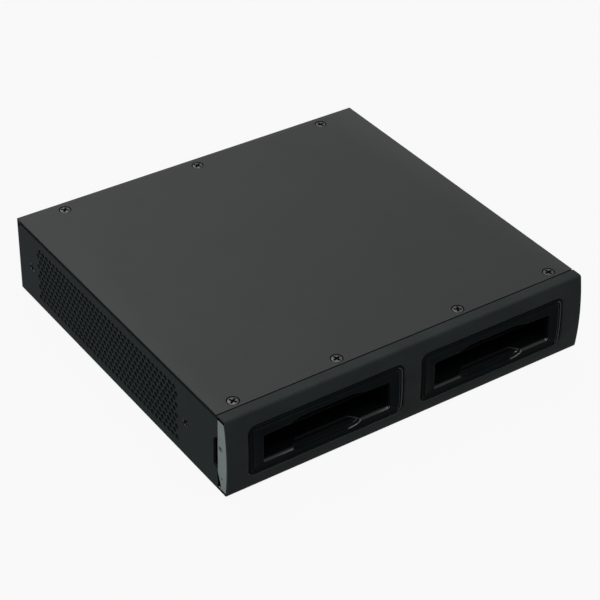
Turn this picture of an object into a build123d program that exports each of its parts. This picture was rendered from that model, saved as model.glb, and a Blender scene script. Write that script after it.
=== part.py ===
from build123d import *
import math
import os

# Driving dimensions of the housing, in millimetres
BODY_W = 215.0
BODY_D = 195.0
BODY_H = 44.0
FOOT_H = 2.0
COVER_T = 1.5
SIDE_T = 1.5
SHEET_T = 1.2
SKIN_T = 0.4
SHADOW_GAP = 0.95
BEZEL_EDGE_D = 6.0
BEZEL_BULGE = 2.8
BEZEL_WALL = 2.0

# Driving dimensions of the two drive bays
BAY_X = 50.4
WINDOW_W = 90.4
WINDOW_H = 28.8
WINDOW_Z = 21.35
WINDOW_R = 4.4
SLOT_W = 72.8
SLOT_H = 14.7
SLOT_Z = 13.1
NOTCH_BASE_W = 43.0
NOTCH_TOP_W = 30.0
NOTCH_H = 2.6
SCOOP_TOP_W = 38.6
SCOOP_LOW_W = 24.6
SCOOP_REAR_W = 30.0
SCOOP_H = 2.35
SCOOP_D = 6.4
SCOOP_RIM = 0.6
FRAME_T = 2.0
FRAME_SETBACK = 0.4
FRAME_FLATS = 4
TUNNEL_STEP = 0.7
GUIDE_END = 112.0

# Side vent: staggered holes in rows of equal triangles
VENT_PITCH = 4.3
VENT_HOLE_R = 1.4
VENT_SIDES = 4
VENT_ROWS = 9
VENT_COLUMNS = 33
VENT_START_Y = 36.3
VENT_START_Z = 6.2

# Fasteners, whose small round forms are drawn with a few flats
HEAD_SIDES = 10
BOSS_SIDES = 8
PAN_SIDES = 6
SHANK_SIDES = 4
CELL_SIDES = 12
M3_R = 1.5
TAPPED_R = 1.55
HEAD_R = 3.0
PAN_HEAD_H = 1.4
SIDE_SCREW_Z = 20.7
SIDE_SCREW_Y = (28.4, 181.2)
FRONT_SCREW_Y = 5.3
REAR_SCREW_Y = 188.5
FRONT_SCREW_X = (-95.5, -36.7, 36.7, 95.5)
REAR_SCREW_X = (-82.5, 0.0, 82.5)
BEZEL_SCREW_X = (-100.4, 100.4)
BEZEL_SCREW_Z = (11.0, 32.0)
PANEL_SCREW_X = (-92.0, -34.5, 15.0, 88.0)
PANEL_SCREW_Z = 4.3

# Rear side: where each socket, switch and the fan stands
FAN_X = 45.0
FAN_SIZE = 40.0
FAN_DEPTH = 20.0
FAN_BORE_R = 19.0
FAN_HOLE_SPACING = 32.0
HUB_R = 9.0
BLADE_TIP_R = 17.4
BLADES = 7
SHAFT_R = 1.5
NETWORK_X = (-28.0, -9.0)
JACK_W = 16.0
JACK_H = 13.5
JACK_D = 21.0
USB_X = -48.0
USB_W = 14.5
USB_H = 7.1
USB_D = 18.0
RESET_X = -66.0
INLET_X = 93.5
INLET_W = 9.0
INLET_H = 11.0
INLET_D = 14.0
SWITCH_X = 78.0
SWITCH_Z = 24.0
SWITCH_W = 15.0
SWITCH_H = 10.4
SWITCH_FLANGE = 1.0
ROCKER_W = 10.8
ROCKER_H = 6.6
ROCKER_TILT = 8.0
ROCKER_SINK = 0.2
PIVOT_DEPTH = 1.6

# Boards
STANDOFF_H = 4.8
BOARD_T = 1.6
BACKPLANE_Y = 121.0
MAIN_BOARD_Y = 124.5
MAIN_BOARD_END = 190.5

# Places worked out from the sizes above
HALF_W = BODY_W / 2
BEZEL_D = BEZEL_EDGE_D + BEZEL_BULGE
TILT = math.radians(ROCKER_TILT)
ROCKER_CREST = SWITCH_FLANGE + PIVOT_DEPTH - ROCKER_SINK
ROCKER_RISE = ROCKER_W / 2 * math.tan(TILT)
ROCKER_TIP = ROCKER_W / 2 * math.sin(TILT) + (ROCKER_CREST + ROCKER_RISE) * math.cos(TILT)
REAR_PROUD = ROCKER_TIP - PIVOT_DEPTH - COVER_T
FRONT = BEZEL_D - (BEZEL_D + BODY_D + REAR_PROUD) / 2
FLOOR = FOOT_H
TOP = FLOOR + BODY_H
LID = TOP - COVER_T
REAR = FRONT + BODY_D
PANEL_OUT = REAR - COVER_T
PANEL_IN = PANEL_OUT - SHEET_T
PIVOT_Y = PANEL_OUT - PIVOT_DEPTH
INNER_W = HALF_W - SIDE_T
FIT = 0.1
FRAME_Y = FRONT - BEZEL_D + FRAME_SETBACK
BOARD_Z = FLOOR + SHEET_T + STANDOFF_H
BOARD_TOP = BOARD_Z + BOARD_T
FAN_Z = FLOOR + SHEET_T + 0.05 + FAN_SIZE / 2
GUIDE_START = 8.3
GUIDE_FLOOR = SLOT_Z - TUNNEL_STEP
GUIDE_WALL = 2.0
EAR_Y = 30.0

parts = {}


def block(x, y, z):
    """A box between a low and a high value on each axis."""
    middle = [(low + high) / 2 for low, high in (x, y, z)]
    size = [high - low for low, high in (x, y, z)]
    return Pos(*middle) * Box(*size)


def rod(axis, start, radius, length, sides=0):
    """A cylinder, or a prism with some sides, from a point along +X, +Y or +Z."""
    turn = {"x": Rot(0, 90, 0), "y": Rot(-90, 0, 0), "z": Rot(0, 0, 0)}[axis]
    section = RegularPolygon(radius, sides) if sides else Circle(radius)
    return Pos(*start) * turn * extrude(section, length)


def tapped_hole(axis, start, length):
    """The room that a screw's shank takes up."""
    return rod(axis, start, TAPPED_R, length, SHANK_SIDES)


def ring_points(radius, height, sides):
    """Corners of a regular outline, level at a height."""
    turns = [2 * math.pi * index / sides for index in range(sides)]
    return [(radius * math.cos(turn), radius * math.sin(turn), height) for turn in turns]


def countersink(depth):
    """A screw head's cone, wide side up, with its top at the origin."""
    return ConvexPolyhedron(ring_points(HEAD_R, 0, HEAD_SIDES) + ring_points(M3_R, -depth, HEAD_SIDES))


def soft_rectangle(width, height, radius, steps=3):
    """Corner points of a rectangle whose corners are rounded in a few steps."""
    points = []
    for corner in range(4):
        x = (width / 2 - radius) * (1 if corner in (0, 3) else -1)
        y = (height / 2 - radius) * (1 if corner in (0, 1) else -1)
        for step in range(steps + 1):
            turn = math.pi / 2 * (corner + step / steps)
            points.append((x + radius * math.cos(turn), y + radius * math.sin(turn)))
    return points


def closed(points):
    """A face in the XY plane inside a closed run of straight lines."""
    return make_face(Polyline(*points, close=True))


def along_x(face, x_from, x_to):
    """Extrudes a face drawn in Y and Z between two X planes."""
    return extrude(Plane.YZ.offset(x_from) * face, x_to - x_from)


def along_y(face, y_from, y_to):
    """Extrudes a face drawn in X and Z between two Y planes."""
    front = Plane(origin=(0, y_from, 0), x_dir=(1, 0, 0), z_dir=(0, -1, 0))
    return extrude(front * face, y_from - y_to)


def mirrored(shape):
    """The same shape on the other side of the middle plane."""
    return mirror(shape, about=Plane.YZ)


def countersunk_screw(length):
    """A screw that points down, with the top of its flat head at the origin."""
    head_h = HEAD_R - M3_R
    shank = rod("z", (0, 0, -length), M3_R, length - head_h, SHANK_SIDES)
    return countersink(head_h) + shank


def pan_screw(length):
    """A screw that points down, with the underside of its pan head at the origin."""
    head = rod("z", (0, 0, 0), HEAD_R - 0.25, PAN_HEAD_H, PAN_SIDES)
    return head + rod("z", (0, 0, -length), M3_R, length, SHANK_SIDES)


def group(shapes):
    """Several separate solids kept as one named piece."""
    return Compound([solid for shape in shapes for solid in shape.solids()])


# Bezel and its parts
def bezel_profile(inset, corner_r=0):
    """The arched side outline of the bezel, in Y and Z."""
    low = FLOOR + inset
    high = TOP - inset
    edge = FRONT - BEZEL_EDGE_D + inset
    bulge = FRONT - BEZEL_D + inset
    arch = ThreePointArc((edge, low), (bulge, FLOOR + WINDOW_Z), (edge, high))
    rest = Polyline((edge, high), (FRONT, high), (FRONT, low), (edge, low))
    face = make_face([arch, rest])
    if corner_r:
        corners = face.vertices().filter_by(lambda corner: corner.X < FRONT - 1.0)
        face = fillet(corners, corner_r)
    return face


def arch_y(z):
    """How far back the bezel's arched face lies at a height."""
    half = BODY_H / 2
    radius = (half**2 + BEZEL_BULGE**2) / (2 * BEZEL_BULGE)
    away = z - FLOOR - half
    return FRONT - BEZEL_D + radius - math.sqrt(radius**2 - away**2)


def window_points(grow):
    """Corner points of the right bay's window, in X and Z."""
    outline = soft_rectangle(WINDOW_W + 2 * grow, WINDOW_H + 2 * grow, WINDOW_R + grow)
    return [(BAY_X + x, FLOOR + WINDOW_Z + z) for x, z in outline]


def window_face(grow):
    """The right bay's window as a face in X and Z."""
    return closed(window_points(grow))


def window_flare():
    """The bevel that leads from the arched face into a window."""
    far = FRONT - BEZEL_D - 0.5
    near = far + 2.4
    wide = [(x, far, z) for x, z in window_points(1.0)]
    narrow = [(x, near, z) for x, z in window_points(0)]
    return ConvexPolyhedron(wide + narrow)


def bezel_screw_points():
    """Places of the four bezel screws, in X and Z."""
    return [(x, FLOOR + z) for x in BEZEL_SCREW_X for z in BEZEL_SCREW_Z]


def front_bezel():
    """A moulded shell with a collar round each window and four screw bosses."""
    cap_t = 2.0
    pocket_x = HALF_W - cap_t
    end_x = pocket_x - BEZEL_WALL
    shell = along_x(bezel_profile(0, 1.4), -HALF_W, HALF_W)
    hollow = along_x(bezel_profile(BEZEL_WALL), -end_x, end_x)
    hollow = hollow + block((-end_x, end_x), (FRONT - 3, FRONT), (FLOOR + BEZEL_WALL, TOP - BEZEL_WALL))
    pocket = along_x(bezel_profile(0.75), pocket_x, HALF_W)
    pocket = pocket + block((pocket_x, HALF_W), (FRONT - 2, FRONT), (FLOOR + 0.75, TOP - 0.75))
    collar = along_y(window_face(1.5), FRONT - BEZEL_D + 1.5, FRONT)
    bosses = [rod("y", (x, FRONT - 7.5, z), 3.0, 7.5, BOSS_SIDES) for x, z in bezel_screw_points()]
    holes = [tapped_hole("y", (x, FRONT - 4.6, z), 5.0) for x, z in bezel_screw_points()]
    windows = along_y(window_face(0), FRONT - BEZEL_D - 1, FRONT + 1) + window_flare()
    body = shell - hollow
    body = body + [collar, mirrored(collar)] + bosses
    return body - [windows, mirrored(windows), pocket, mirrored(pocket)] - holes


def bezel_end_cap():
    """The grey plate let into the right end of the bezel."""
    plate = along_x(bezel_profile(0.78), HALF_W - 1.95, HALF_W)
    plate = plate - along_x(tongue_face(0.3), HALF_W - SIDE_T - 0.2, HALF_W + 1)
    peg_hole = rod("x", (HALF_W - 1.2, FRONT - 2.3, FLOOR + 25.6), 1.4, 2.0, BOSS_SIDES)
    return plate - peg_hole


def slot_face(grow):
    """The slot of the right bay with the notch in its top edge, in X and Z."""
    low = FLOOR + SLOT_Z
    high = low + SLOT_H
    half = SLOT_W / 2
    points = [
        (-half, low),
        (half, low),
        (half, high),
        (NOTCH_BASE_W / 2, high),
        (NOTCH_TOP_W / 2, high + NOTCH_H),
        (-NOTCH_TOP_W / 2, high + NOTCH_H),
        (-NOTCH_BASE_W / 2, high),
        (-half, high),
    ]
    face = closed(points)
    if grow:
        face = offset(face, grow, kind=Kind.INTERSECTION)
    return Pos(BAY_X, 0) * face


def scoop_points(depth, top_w, low_w, height):
    """Corners of one cross section of the finger scoop, at a depth behind the frame's face."""
    ledge = FLOOR + SLOT_Z
    y = FRAME_Y + depth
    shoulder_w = low_w + (top_w - low_w) * 0.7
    levels = [(top_w, ledge + 0.2), (shoulder_w, ledge - height * 0.7), (low_w, ledge - height)]
    return [(BAY_X + side * width / 2, y, z) for side in (-1, 1) for width, z in levels]


def finger_scoop():
    """The space that a finger goes into, deep at the front and rising to the ledge."""
    mouth = scoop_points(-0.5, SCOOP_TOP_W, SCOOP_LOW_W, SCOOP_H)
    heel = scoop_points(FRAME_T, SCOOP_TOP_W - 1.5, SCOOP_LOW_W - 0.8, SCOOP_H)
    back = scoop_points(SCOOP_D, SCOOP_REAR_W, SCOOP_REAR_W - 2.0, 0.1)
    return ConvexPolyhedron(mouth + heel) + ConvexPolyhedron(heel + back)


def scoop_cup(low):
    """The thin-rimmed block behind the frame's plate that the finger scoop is hollowed from."""
    near = FRAME_Y + FRAME_T
    far = FRAME_Y + SCOOP_D + SCOOP_RIM
    wide = SCOOP_TOP_W / 2 + SCOOP_RIM
    narrow = SCOOP_REAR_W / 2 + SCOOP_RIM
    plan = closed([(-wide, near), (wide, near), (narrow, far), (-narrow, far)])
    return Pos(BAY_X, 0, low) * extrude(plan, FLOOR + SLOT_Z - low)


def bay_frame():
    """The glossy moulding in the right window: bowed plate, skirt, tunnel and finger scoop."""
    clear = 0.15
    low = FLOOR + WINDOW_Z - WINDOW_H / 2 + clear
    high = low + WINDOW_H - 2 * clear
    step = (high - low + 1.0) / FRAME_FLATS
    levels = [low - 0.5 + step * index for index in range(FRAME_FLATS + 1)]
    bow = [(arch_y(z) + FRAME_SETBACK, z) for z in levels]
    side = closed(bow + [(FRONT + FRAME_T, levels[-1]), (FRONT + FRAME_T, levels[0])])
    skin = along_x(side, BAY_X - WINDOW_W / 2, BAY_X + WINDOW_W / 2)
    plate = (skin & along_y(window_face(-clear), FRAME_Y - 1, FRONT)) - Pos(0, FRAME_T, 0) * skin
    inside = Rectangle(WINDOW_W - 2 * clear - 3.0, WINDOW_H - 2 * clear - 3.0)
    skirt = window_face(-clear) - Pos(BAY_X, FLOOR + WINDOW_Z) * inside
    skirt = along_y(skirt, FRAME_Y + FRAME_T, FRONT)
    ring = slot_face(TUNNEL_STEP + 1.3) - slot_face(TUNNEL_STEP)
    tunnel = along_y(ring, FRAME_Y + 1.3, FRONT + GUIDE_START - 0.3)
    body = plate + skirt + tunnel + scoop_cup(low)
    return body - along_y(slot_face(0), FRAME_Y - 1, FRAME_Y + FRAME_T + 1) - finger_scoop()


# Housing plates
def tongue_face(grow):
    """The rounded tongue at the foot of the right side panel's front edge, in Y and Z."""
    reach = 1.7 + grow
    return Pos(FRONT, FLOOR + 4.0) * closed(soft_rectangle(2 * reach, 6.2 + 2 * grow, 1.4))


def side_panel_face():
    """The side panel's outline with the notch in its front edge, in Y and Z."""
    rise = TOP - SKIN_T - SHADOW_GAP
    panel = closed([(FRONT, FLOOR), (REAR, FLOOR), (REAR, rise), (FRONT, rise)])
    panel = panel + tongue_face(0)
    notch = closed(
        [
            (FRONT - 1, FLOOR + 10.6),
            (FRONT + 3.4, FLOOR + 13.0),
            (FRONT + 3.4, FLOOR + 28.6),
            (FRONT - 1, FLOOR + 32.0),
        ]
    )
    return panel - notch


def vent_points():
    """Centres of the vent holes, in Y and Z, row by row."""
    row_step = VENT_PITCH * math.sqrt(3) / 2
    points = []
    for row in range(VENT_ROWS):
        shift = VENT_PITCH / 2 if row % 2 else 0.0
        for column in range(VENT_COLUMNS - row % 2):
            y = FRONT + VENT_START_Y + shift + column * VENT_PITCH
            points.append((y, FLOOR + VENT_START_Z + row * row_step))
    return points


def perforated(face):
    """A face with all the vent holes as inner loops."""
    same_area = math.sqrt(2 * math.pi / (VENT_SIDES * math.sin(2 * math.pi / VENT_SIDES)))
    hole = RegularPolygon(VENT_HOLE_R * same_area, VENT_SIDES)
    loops = [(Pos(y, z) * hole).face().outer_wire() for y, z in vent_points()]
    return Sketch() + Face(face.face().outer_wire(), loops)


def side_panel(face):
    """The right side panel: a plate with a joggled flange that the cover lies on."""
    wall = along_x(face, INNER_W, HALF_W)
    flange = block((HALF_W - 8, HALF_W - 1.0), (FRONT + 1.5, PANEL_IN - 0.1), (LID - SHEET_T, LID))
    rear_end = block((INNER_W, HALF_W), (REAR - 3, REAR), (LID - 1.0, TOP - SKIN_T))
    places = [Pos(HALF_W, FRONT + y, FLOOR + SIDE_SCREW_Z) for y in SIDE_SCREW_Y]
    seats = [place * Rot(0, 90, 0) * countersink(SIDE_T) for place in places]
    return wall + [flange, rear_end] - seats


def top_cover():
    """The lid: a plate that is thinner along both sides, seven holes and a lip at the rear."""
    inner = INNER_W - FIT
    skin = block((-HALF_W, HALF_W), (FRONT, REAR), (TOP - SKIN_T, TOP))
    plate = block((-inner, inner), (FRONT, REAR), (LID, TOP))
    lip = block((-inner, inner), (PANEL_OUT, REAR), (LID - 2, LID))
    body = skin + plate + lip
    rims = body.edges().filter_by(lambda e: e.center().Z > TOP - 0.01 and e.center().Y > FRONT + 1)
    body = chamfer(rims, SKIN_T / 2)
    return body - [Pos(x, y, TOP) * countersink(COVER_T) for x, y in cover_screw_points()]


def cover_screw_points():
    """Places of the cover's seven screws, in X and Y."""
    front = [(x, FRONT + FRONT_SCREW_Y) for x in FRONT_SCREW_X]
    rear = [(x, FRONT + REAR_SCREW_Y) for x in REAR_SCREW_X]
    return front + rear


def base_pan():
    """Floor, front wall with two bay openings, top flange, side tabs and rear upstand."""
    wide = (-INNER_W + FIT, INNER_W - FIT)
    floor = block(wide, (FRONT, PANEL_IN), (FLOOR, FLOOR + SHEET_T))
    wall = block(wide, (FRONT, FRONT + SHEET_T), (FLOOR, LID))
    flange = block((-98, 98), (FRONT, FRONT + 11), (LID - SHEET_T, LID))
    upstand = block((-100, 100), (PANEL_IN - SHEET_T, PANEL_IN), (FLOOR, FLOOR + 7.0))
    fan_gap = block(
        (FAN_X - FAN_SIZE / 2 - 2, FAN_X + FAN_SIZE / 2 + 2),
        (PANEL_IN - SHEET_T - 1, PANEL_IN + 1),
        (FLOOR + SHEET_T, FLOOR + 9.0),
    )
    tabs = []
    tab_holes = []
    for y in SIDE_SCREW_Y:
        low_y = FRONT + y - 7
        tab = block((wide[1] - SHEET_T, wide[1]), (low_y, low_y + 14), (FLOOR, FLOOR + 28))
        hole = tapped_hole("x", (wide[1] - 4, FRONT + y, FLOOR + SIDE_SCREW_Z), 6)
        tabs += [tab, mirrored(tab)]
        tab_holes += [hole, mirrored(hole)]
    body = floor + wall + flange + upstand - fan_gap + tabs - tab_holes
    opening = block((BAY_X - 39.5, BAY_X + 39.5), (FRONT - 1, FRONT + 2), (FLOOR + 9.4, FLOOR + 32.9))
    holes = [tapped_hole("z", (x, y, LID - 3), 5) for x, y in cover_screw_points()[:4]]
    holes += [tapped_hole("y", (x, FRONT - 1, z), 4) for x, z in bezel_screw_points()]
    holes += [tapped_hole("y", (x, PANEL_IN - 3, FLOOR + PANEL_SCREW_Z), 4) for x in PANEL_SCREW_X]
    return body - [opening, mirrored(opening)] - holes


def grille_face():
    """Upright slots in front of the fan, cut off along its round bore, in X and Z."""
    slots = Sketch()
    for index in range(-5, 6):
        x = index * 3.3
        reach = math.sqrt((FAN_BORE_R - 1.0) ** 2 - x**2)
        slots = slots + Pos(x, 0) * Rectangle(2.0, 2 * reach)
    return Pos(FAN_X, FAN_Z) * slots


def rear_panel():
    """The rear plate with cut-outs for each socket, the fan grille and a top flange."""
    edge = INNER_W - FIT
    plate = closed([(-edge, FLOOR), (edge, FLOOR), (edge, LID), (-edge, LID)])
    cuts = [Pos(x, BOARD_TOP + JACK_H / 2) * Rectangle(JACK_W + 0.4, JACK_H + 0.4) for x in NETWORK_X]
    cuts.append(Pos(USB_X, BOARD_TOP + USB_H / 2) * Rectangle(USB_W + 0.4, USB_H + 0.4))
    cuts.append(Pos(INLET_X, BOARD_TOP + INLET_H / 2) * Rectangle(INLET_W + 0.4, INLET_H + 0.4))
    cuts.append(Pos(SWITCH_X, SWITCH_Z) * Rectangle(SWITCH_W - 1.8, SWITCH_H - 1.6))
    cuts.append(Pos(RESET_X, BOARD_TOP + 3.0) * RegularPolygon(1.85, HEAD_SIDES))
    cuts.append(grille_face())
    screws = fan_screw_points() + [(x, FLOOR + PANEL_SCREW_Z) for x in PANEL_SCREW_X]
    cuts += [Pos(x, z) * RegularPolygon(TAPPED_R, SHANK_SIDES) for x, z in screws]
    body = along_y(plate - cuts, PANEL_IN, PANEL_OUT)
    flange = block((-92, 92), (PANEL_IN - 9.5, PANEL_IN), (LID - SHEET_T, LID))
    fan_gap = block(
        (FAN_X - FAN_SIZE / 2 - 2, FAN_X + FAN_SIZE / 2 + 2),
        (PANEL_IN - 10, PANEL_IN),
        (LID - 2, LID + 1),
    )
    holes = [tapped_hole("z", (x, y, LID - 3), 5) for x, y in cover_screw_points()[4:]]
    return body + (flange - fan_gap) - holes


def rubber_feet():
    """Four round feet under the base pan."""
    feet = []
    for x in (-88, 88):
        for y in (FRONT + 18, REAR - 18):
            feet.append(rod("z", (x, y, 0), 6.0, FOOT_H, BOSS_SIDES))
    return group(feet)


# Drive bays
def drive_guide():
    """The right cage: floor on two walls, retaining lips, screw ears and rear posts."""
    half = SLOT_W / 2
    start = FRONT + GUIDE_START
    end = FRONT + GUIDE_END
    base = FLOOR + SHEET_T
    floor_z = FLOOR + GUIDE_FLOOR
    wall_top = FLOOR + SLOT_Z + SLOT_H + 2.0
    floor = block((-half, half), (start, end), (floor_z - 1.8, floor_z))
    pieces = [floor]
    ear_holes = []
    for side in (-1, 1):
        inner = side * half
        outer = side * (half + GUIDE_WALL)
        lip = side * (half - 5.0)
        ear = side * (half + GUIDE_WALL + 7.0)
        pieces.append(block(sorted((inner, outer)), (start, end), (base, wall_top)))
        pieces.append(block(sorted((lip, inner)), (start, end), (wall_top - 1.6, wall_top)))
        post_x = sorted((outer - side * 6, outer))
        pieces.append(block(post_x, (end - 1, FRONT + BACKPLANE_Y), (base, base + 7)))
        y = start + EAR_Y
        pieces.append(block(sorted((outer, ear)), (y - 5, y + 5), (base, base + 2.0)))
        ear_holes.append(tapped_hole("z", (outer + side * 3.6, y, base - 1), 4))
    windows = [
        block((-27, -3), (y - 7, y + 7), (floor_z - 3, floor_z + 1))
        for y in (start + 22, start + 52, start + 82)
    ]
    windows += [mirrored(window) for window in windows]
    post_holes = [
        tapped_hole("y", (side * (half - 1.0), FRONT + BACKPLANE_Y - 7, base + 3.5), 8)
        for side in (-1, 1)
    ]
    body = Part() + pieces - windows - ear_holes - post_holes
    return Pos(BAY_X, 0, 0) * body


def guide_screws():
    """Screws through the cages' ears into the base pan."""
    y = FRONT + GUIDE_START + EAR_Y
    z = FLOOR + SHEET_T + 2.0
    reach = SLOT_W / 2 + GUIDE_WALL + 3.6
    places = [Pos(bay + side * reach, y, z) for bay in (-BAY_X, BAY_X) for side in (-1, 1)]
    return group([place * pan_screw(2.0) for place in places])


def drive_connector():
    """The right drive socket: a housing with one long and one short blade slot."""
    front = FRONT + BACKPLANE_Y - 8.5
    low = FLOOR + GUIDE_FLOOR + 1.2
    body = block((-21.3, 21.3), (front, FRONT + BACKPLANE_Y), (low, low + 5.6))
    wings = block((-24.0, 24.0), (front + 4.5, FRONT + BACKPLANE_Y), (low, low + 4.0))
    long_slot = block((-18.5, 3.5), (front - 1, front + 5.5), (low + 2.0, low + 4.2))
    short_slot = block((6.0, 18.0), (front - 1, front + 5.5), (low + 2.0, low + 4.2))
    key = block((-18.5, -17.0), (front - 1, front + 5.5), (low + 1.0, low + 2.1))
    return Pos(BAY_X, 0, 0) * (body + wings - long_slot - short_slot - key)


def drive_backplane():
    """The upright board behind the drives, with air openings above each socket."""
    low = FLOOR + 3.5
    high = FLOOR + 38.0
    outline = closed([(-94, low), (94, low), (94, high), (-94, high)])
    air = Pos(BAY_X, FLOOR + 28.0) * Rectangle(60, 10)
    board = outline - air - mirror(air, about=Plane.YZ)
    body = along_y(board, FRONT + BACKPLANE_Y, FRONT + BACKPLANE_Y + BOARD_T)
    holes = [tapped_hole("y", (x, FRONT + BACKPLANE_Y - 1, z), 4) for x, z in backplane_screw_points()]
    return body - holes


def backplane_screw_points():
    """Places of the four screws that hold the upright board, in X and Z."""
    z = FLOOR + SHEET_T + 3.5
    half = SLOT_W / 2 - 1.0
    return [(bay + side * half, z) for bay in (-BAY_X, BAY_X) for side in (-1, 1)]


# Main board and what is on it
def main_board():
    """The flat board behind the drives, cut away round the fan."""
    half = 99.0
    fan_left = FAN_X - FAN_SIZE / 2 - 2
    fan_right = FAN_X + FAN_SIZE / 2 + 2
    fan_front = PANEL_IN - FAN_DEPTH - 4
    front = FRONT + MAIN_BOARD_Y
    back = FRONT + MAIN_BOARD_END
    points = [
        (-half, front),
        (half, front),
        (half, back),
        (fan_right, back),
        (fan_right, fan_front),
        (fan_left, fan_front),
        (fan_left, back),
        (-half, back),
    ]
    holes = [Pos(x, y) * RegularPolygon(TAPPED_R, SHANK_SIDES) for x, y in standoff_points()]
    return Pos(0, 0, BOARD_Z) * extrude(closed(points) - holes, BOARD_T)


def standoff_points():
    """Places of the main board's standoffs, in X and Y."""
    front = FRONT + MAIN_BOARD_Y + 5
    back = FRONT + MAIN_BOARD_END - 12
    return [(-93, front), (93, front), (-88, back), (10, back), (84, back - 10)]


def board_standoffs():
    """Five pillars between the floor and the main board."""
    pillars = []
    for x, y in standoff_points():
        pillar = rod("z", (x, y, FLOOR + SHEET_T), 3.2, STANDOFF_H, PAN_SIDES)
        pillars.append(pillar - tapped_hole("z", (x, y, BOARD_Z - 3.5), 5))
    return group(pillars)


def board_screws():
    """Screws that hold the main board on its standoffs and the upright board on its posts."""
    screws = [Pos(x, y, BOARD_TOP) * pan_screw(4.5) for x, y in standoff_points()]
    rear_face = FRONT + BACKPLANE_Y + BOARD_T
    screws += [Pos(x, rear_face, z) * Rot(-90, 0, 0) * pan_screw(6.0) for x, z in backplane_screw_points()]
    return group(screws)


def board_link():
    """The socket strip that joins the upright board to the main board."""
    back = FRONT + BACKPLANE_Y + BOARD_T
    strip = block((-22, 22), (back, back + 7.5), (BOARD_TOP, BOARD_TOP + 7.0))
    return strip - block((-20, 20), (back + 2.2, back + 5.2), (BOARD_TOP + 3.0, BOARD_TOP + 8.0))


def processor():
    """The square chip under the heat sink."""
    return block((-62, -41), (FRONT + 139, FRONT + 160), (BOARD_TOP, BOARD_TOP + 2.0))


def heat_sink():
    """A finned block on the processor, with its fins in line with the air flow."""
    base_z = BOARD_TOP + 2.0
    sink = block((-70, -33), (FRONT + 131, FRONT + 168), (base_z, base_z + 2.5))
    for fin in range(9):
        x = -70 + fin * 4.45
        sink = sink + block((x, x + 1.4), (FRONT + 131, FRONT + 168), (base_z + 2.5, base_z + 15))
    return sink


def memory_chips():
    """Four flat chips beside the processor."""
    chips = []
    for x in (-26, -12):
        for y in (141, 155):
            chips.append(block((x, x + 11), (FRONT + y, FRONT + y + 9), (BOARD_TOP, BOARD_TOP + 1.0)))
    return group(chips)


def capacitors():
    """Four upright cans near the power inlet."""
    cans = []
    for index in range(4):
        x = 74 + (index % 2) * 10
        y = FRONT + 141 + (index // 2) * 11
        cans.append(rod("z", (x, y, BOARD_TOP), 3.9, 11.0, BOSS_SIDES))
    return group(cans)


def cell_holder():
    """The cup that clips round the coin cell."""
    ring = rod("z", (-86, FRONT + 150, BOARD_TOP), 11.6, 4.4, CELL_SIDES)
    ring = ring - rod("z", (-86, FRONT + 150, BOARD_TOP + 0.8), 10.1, 5.0, CELL_SIDES)
    return ring - block((-92, -80), (FRONT + 136, FRONT + 145), (BOARD_TOP + 0.8, BOARD_TOP + 6))


def coin_cell():
    """The backup cell, 20 mm across."""
    return rod("z", (-86, FRONT + 150, BOARD_TOP + 0.8), 10.0, 3.2, CELL_SIDES)


def network_jack(x):
    """An eight-way modular socket with its latch groove, open to the rear."""
    face = PANEL_OUT + 0.3
    body = block((x - JACK_W / 2, x + JACK_W / 2), (face - JACK_D, face), (BOARD_TOP, BOARD_TOP + JACK_H))
    mouth = block((x - 5.9, x + 5.9), (face - 14, face + 1), (BOARD_TOP + 3.4, BOARD_TOP + 11.4))
    groove = block((x - 3.1, x + 3.1), (face - 14, face + 1), (BOARD_TOP + 1.4, BOARD_TOP + 3.5))
    return body - mouth - groove


def usb_port():
    """A rectangular shell with a contact tongue, open to the rear."""
    face = PANEL_OUT + 0.3
    low = BOARD_TOP
    shell = block((USB_X - USB_W / 2, USB_X + USB_W / 2), (face - USB_D, face), (low, low + USB_H))
    mouth = block((USB_X - 6.3, USB_X + 6.3), (face - 12, face + 1), (low + 1.0, low + 6.1))
    tongue = block((USB_X - 5.5, USB_X + 5.5), (face - 12, face - 1.5), (low + 3.7, low + 5.5))
    return shell - mouth + tongue


def power_inlet():
    """A round low-voltage socket with its centre pin, in a square housing."""
    face = PANEL_OUT
    half = INLET_W / 2
    middle = BOARD_TOP + 6.2
    body = block((INLET_X - half, INLET_X + half), (face - INLET_D, face), (BOARD_TOP, BOARD_TOP + INLET_H))
    barrel = rod("y", (INLET_X, face - 10, middle), 3.1, 11, CELL_SIDES)
    pin = rod("y", (INLET_X, face - 10, middle), 1.0, 9, BOSS_SIDES)
    return body - barrel + pin


# Switches
def power_switch_housing():
    """The snap-in frame of the power switch and its body behind the panel."""
    flange = block(
        (SWITCH_X - SWITCH_W / 2, SWITCH_X + SWITCH_W / 2),
        (PANEL_OUT, PANEL_OUT + SWITCH_FLANGE),
        (SWITCH_Z - SWITCH_H / 2, SWITCH_Z + SWITCH_H / 2),
    )
    flange = chamfer(flange.edges().filter_by(Axis.Y), 1.0)
    body = block(
        (SWITCH_X - 6.5, SWITCH_X + 6.5),
        (PANEL_OUT - 11.5, PANEL_OUT),
        (SWITCH_Z - 4.2, SWITCH_Z + 4.2),
    )
    well = block(
        (SWITCH_X - ROCKER_W / 2 - 0.6, SWITCH_X + ROCKER_W / 2 + 0.6),
        (PANEL_OUT - 5.4, PANEL_OUT + 2),
        (SWITCH_Z - ROCKER_H / 2 - 0.3, SWITCH_Z + ROCKER_H / 2 + 0.3),
    )
    pin = rod("z", (SWITCH_X, PIVOT_Y, SWITCH_Z - 4.1), 0.8, 8.2, BOSS_SIDES)
    blades = [
        block((x - 0.4, x + 0.4), (PANEL_OUT - 18, PANEL_OUT - 11.5), (SWITCH_Z - 2.2, SWITCH_Z + 2.2))
        for x in (SWITCH_X - 4.0, SWITCH_X + 4.0)
    ]
    return flange + body - well + pin + blades


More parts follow.
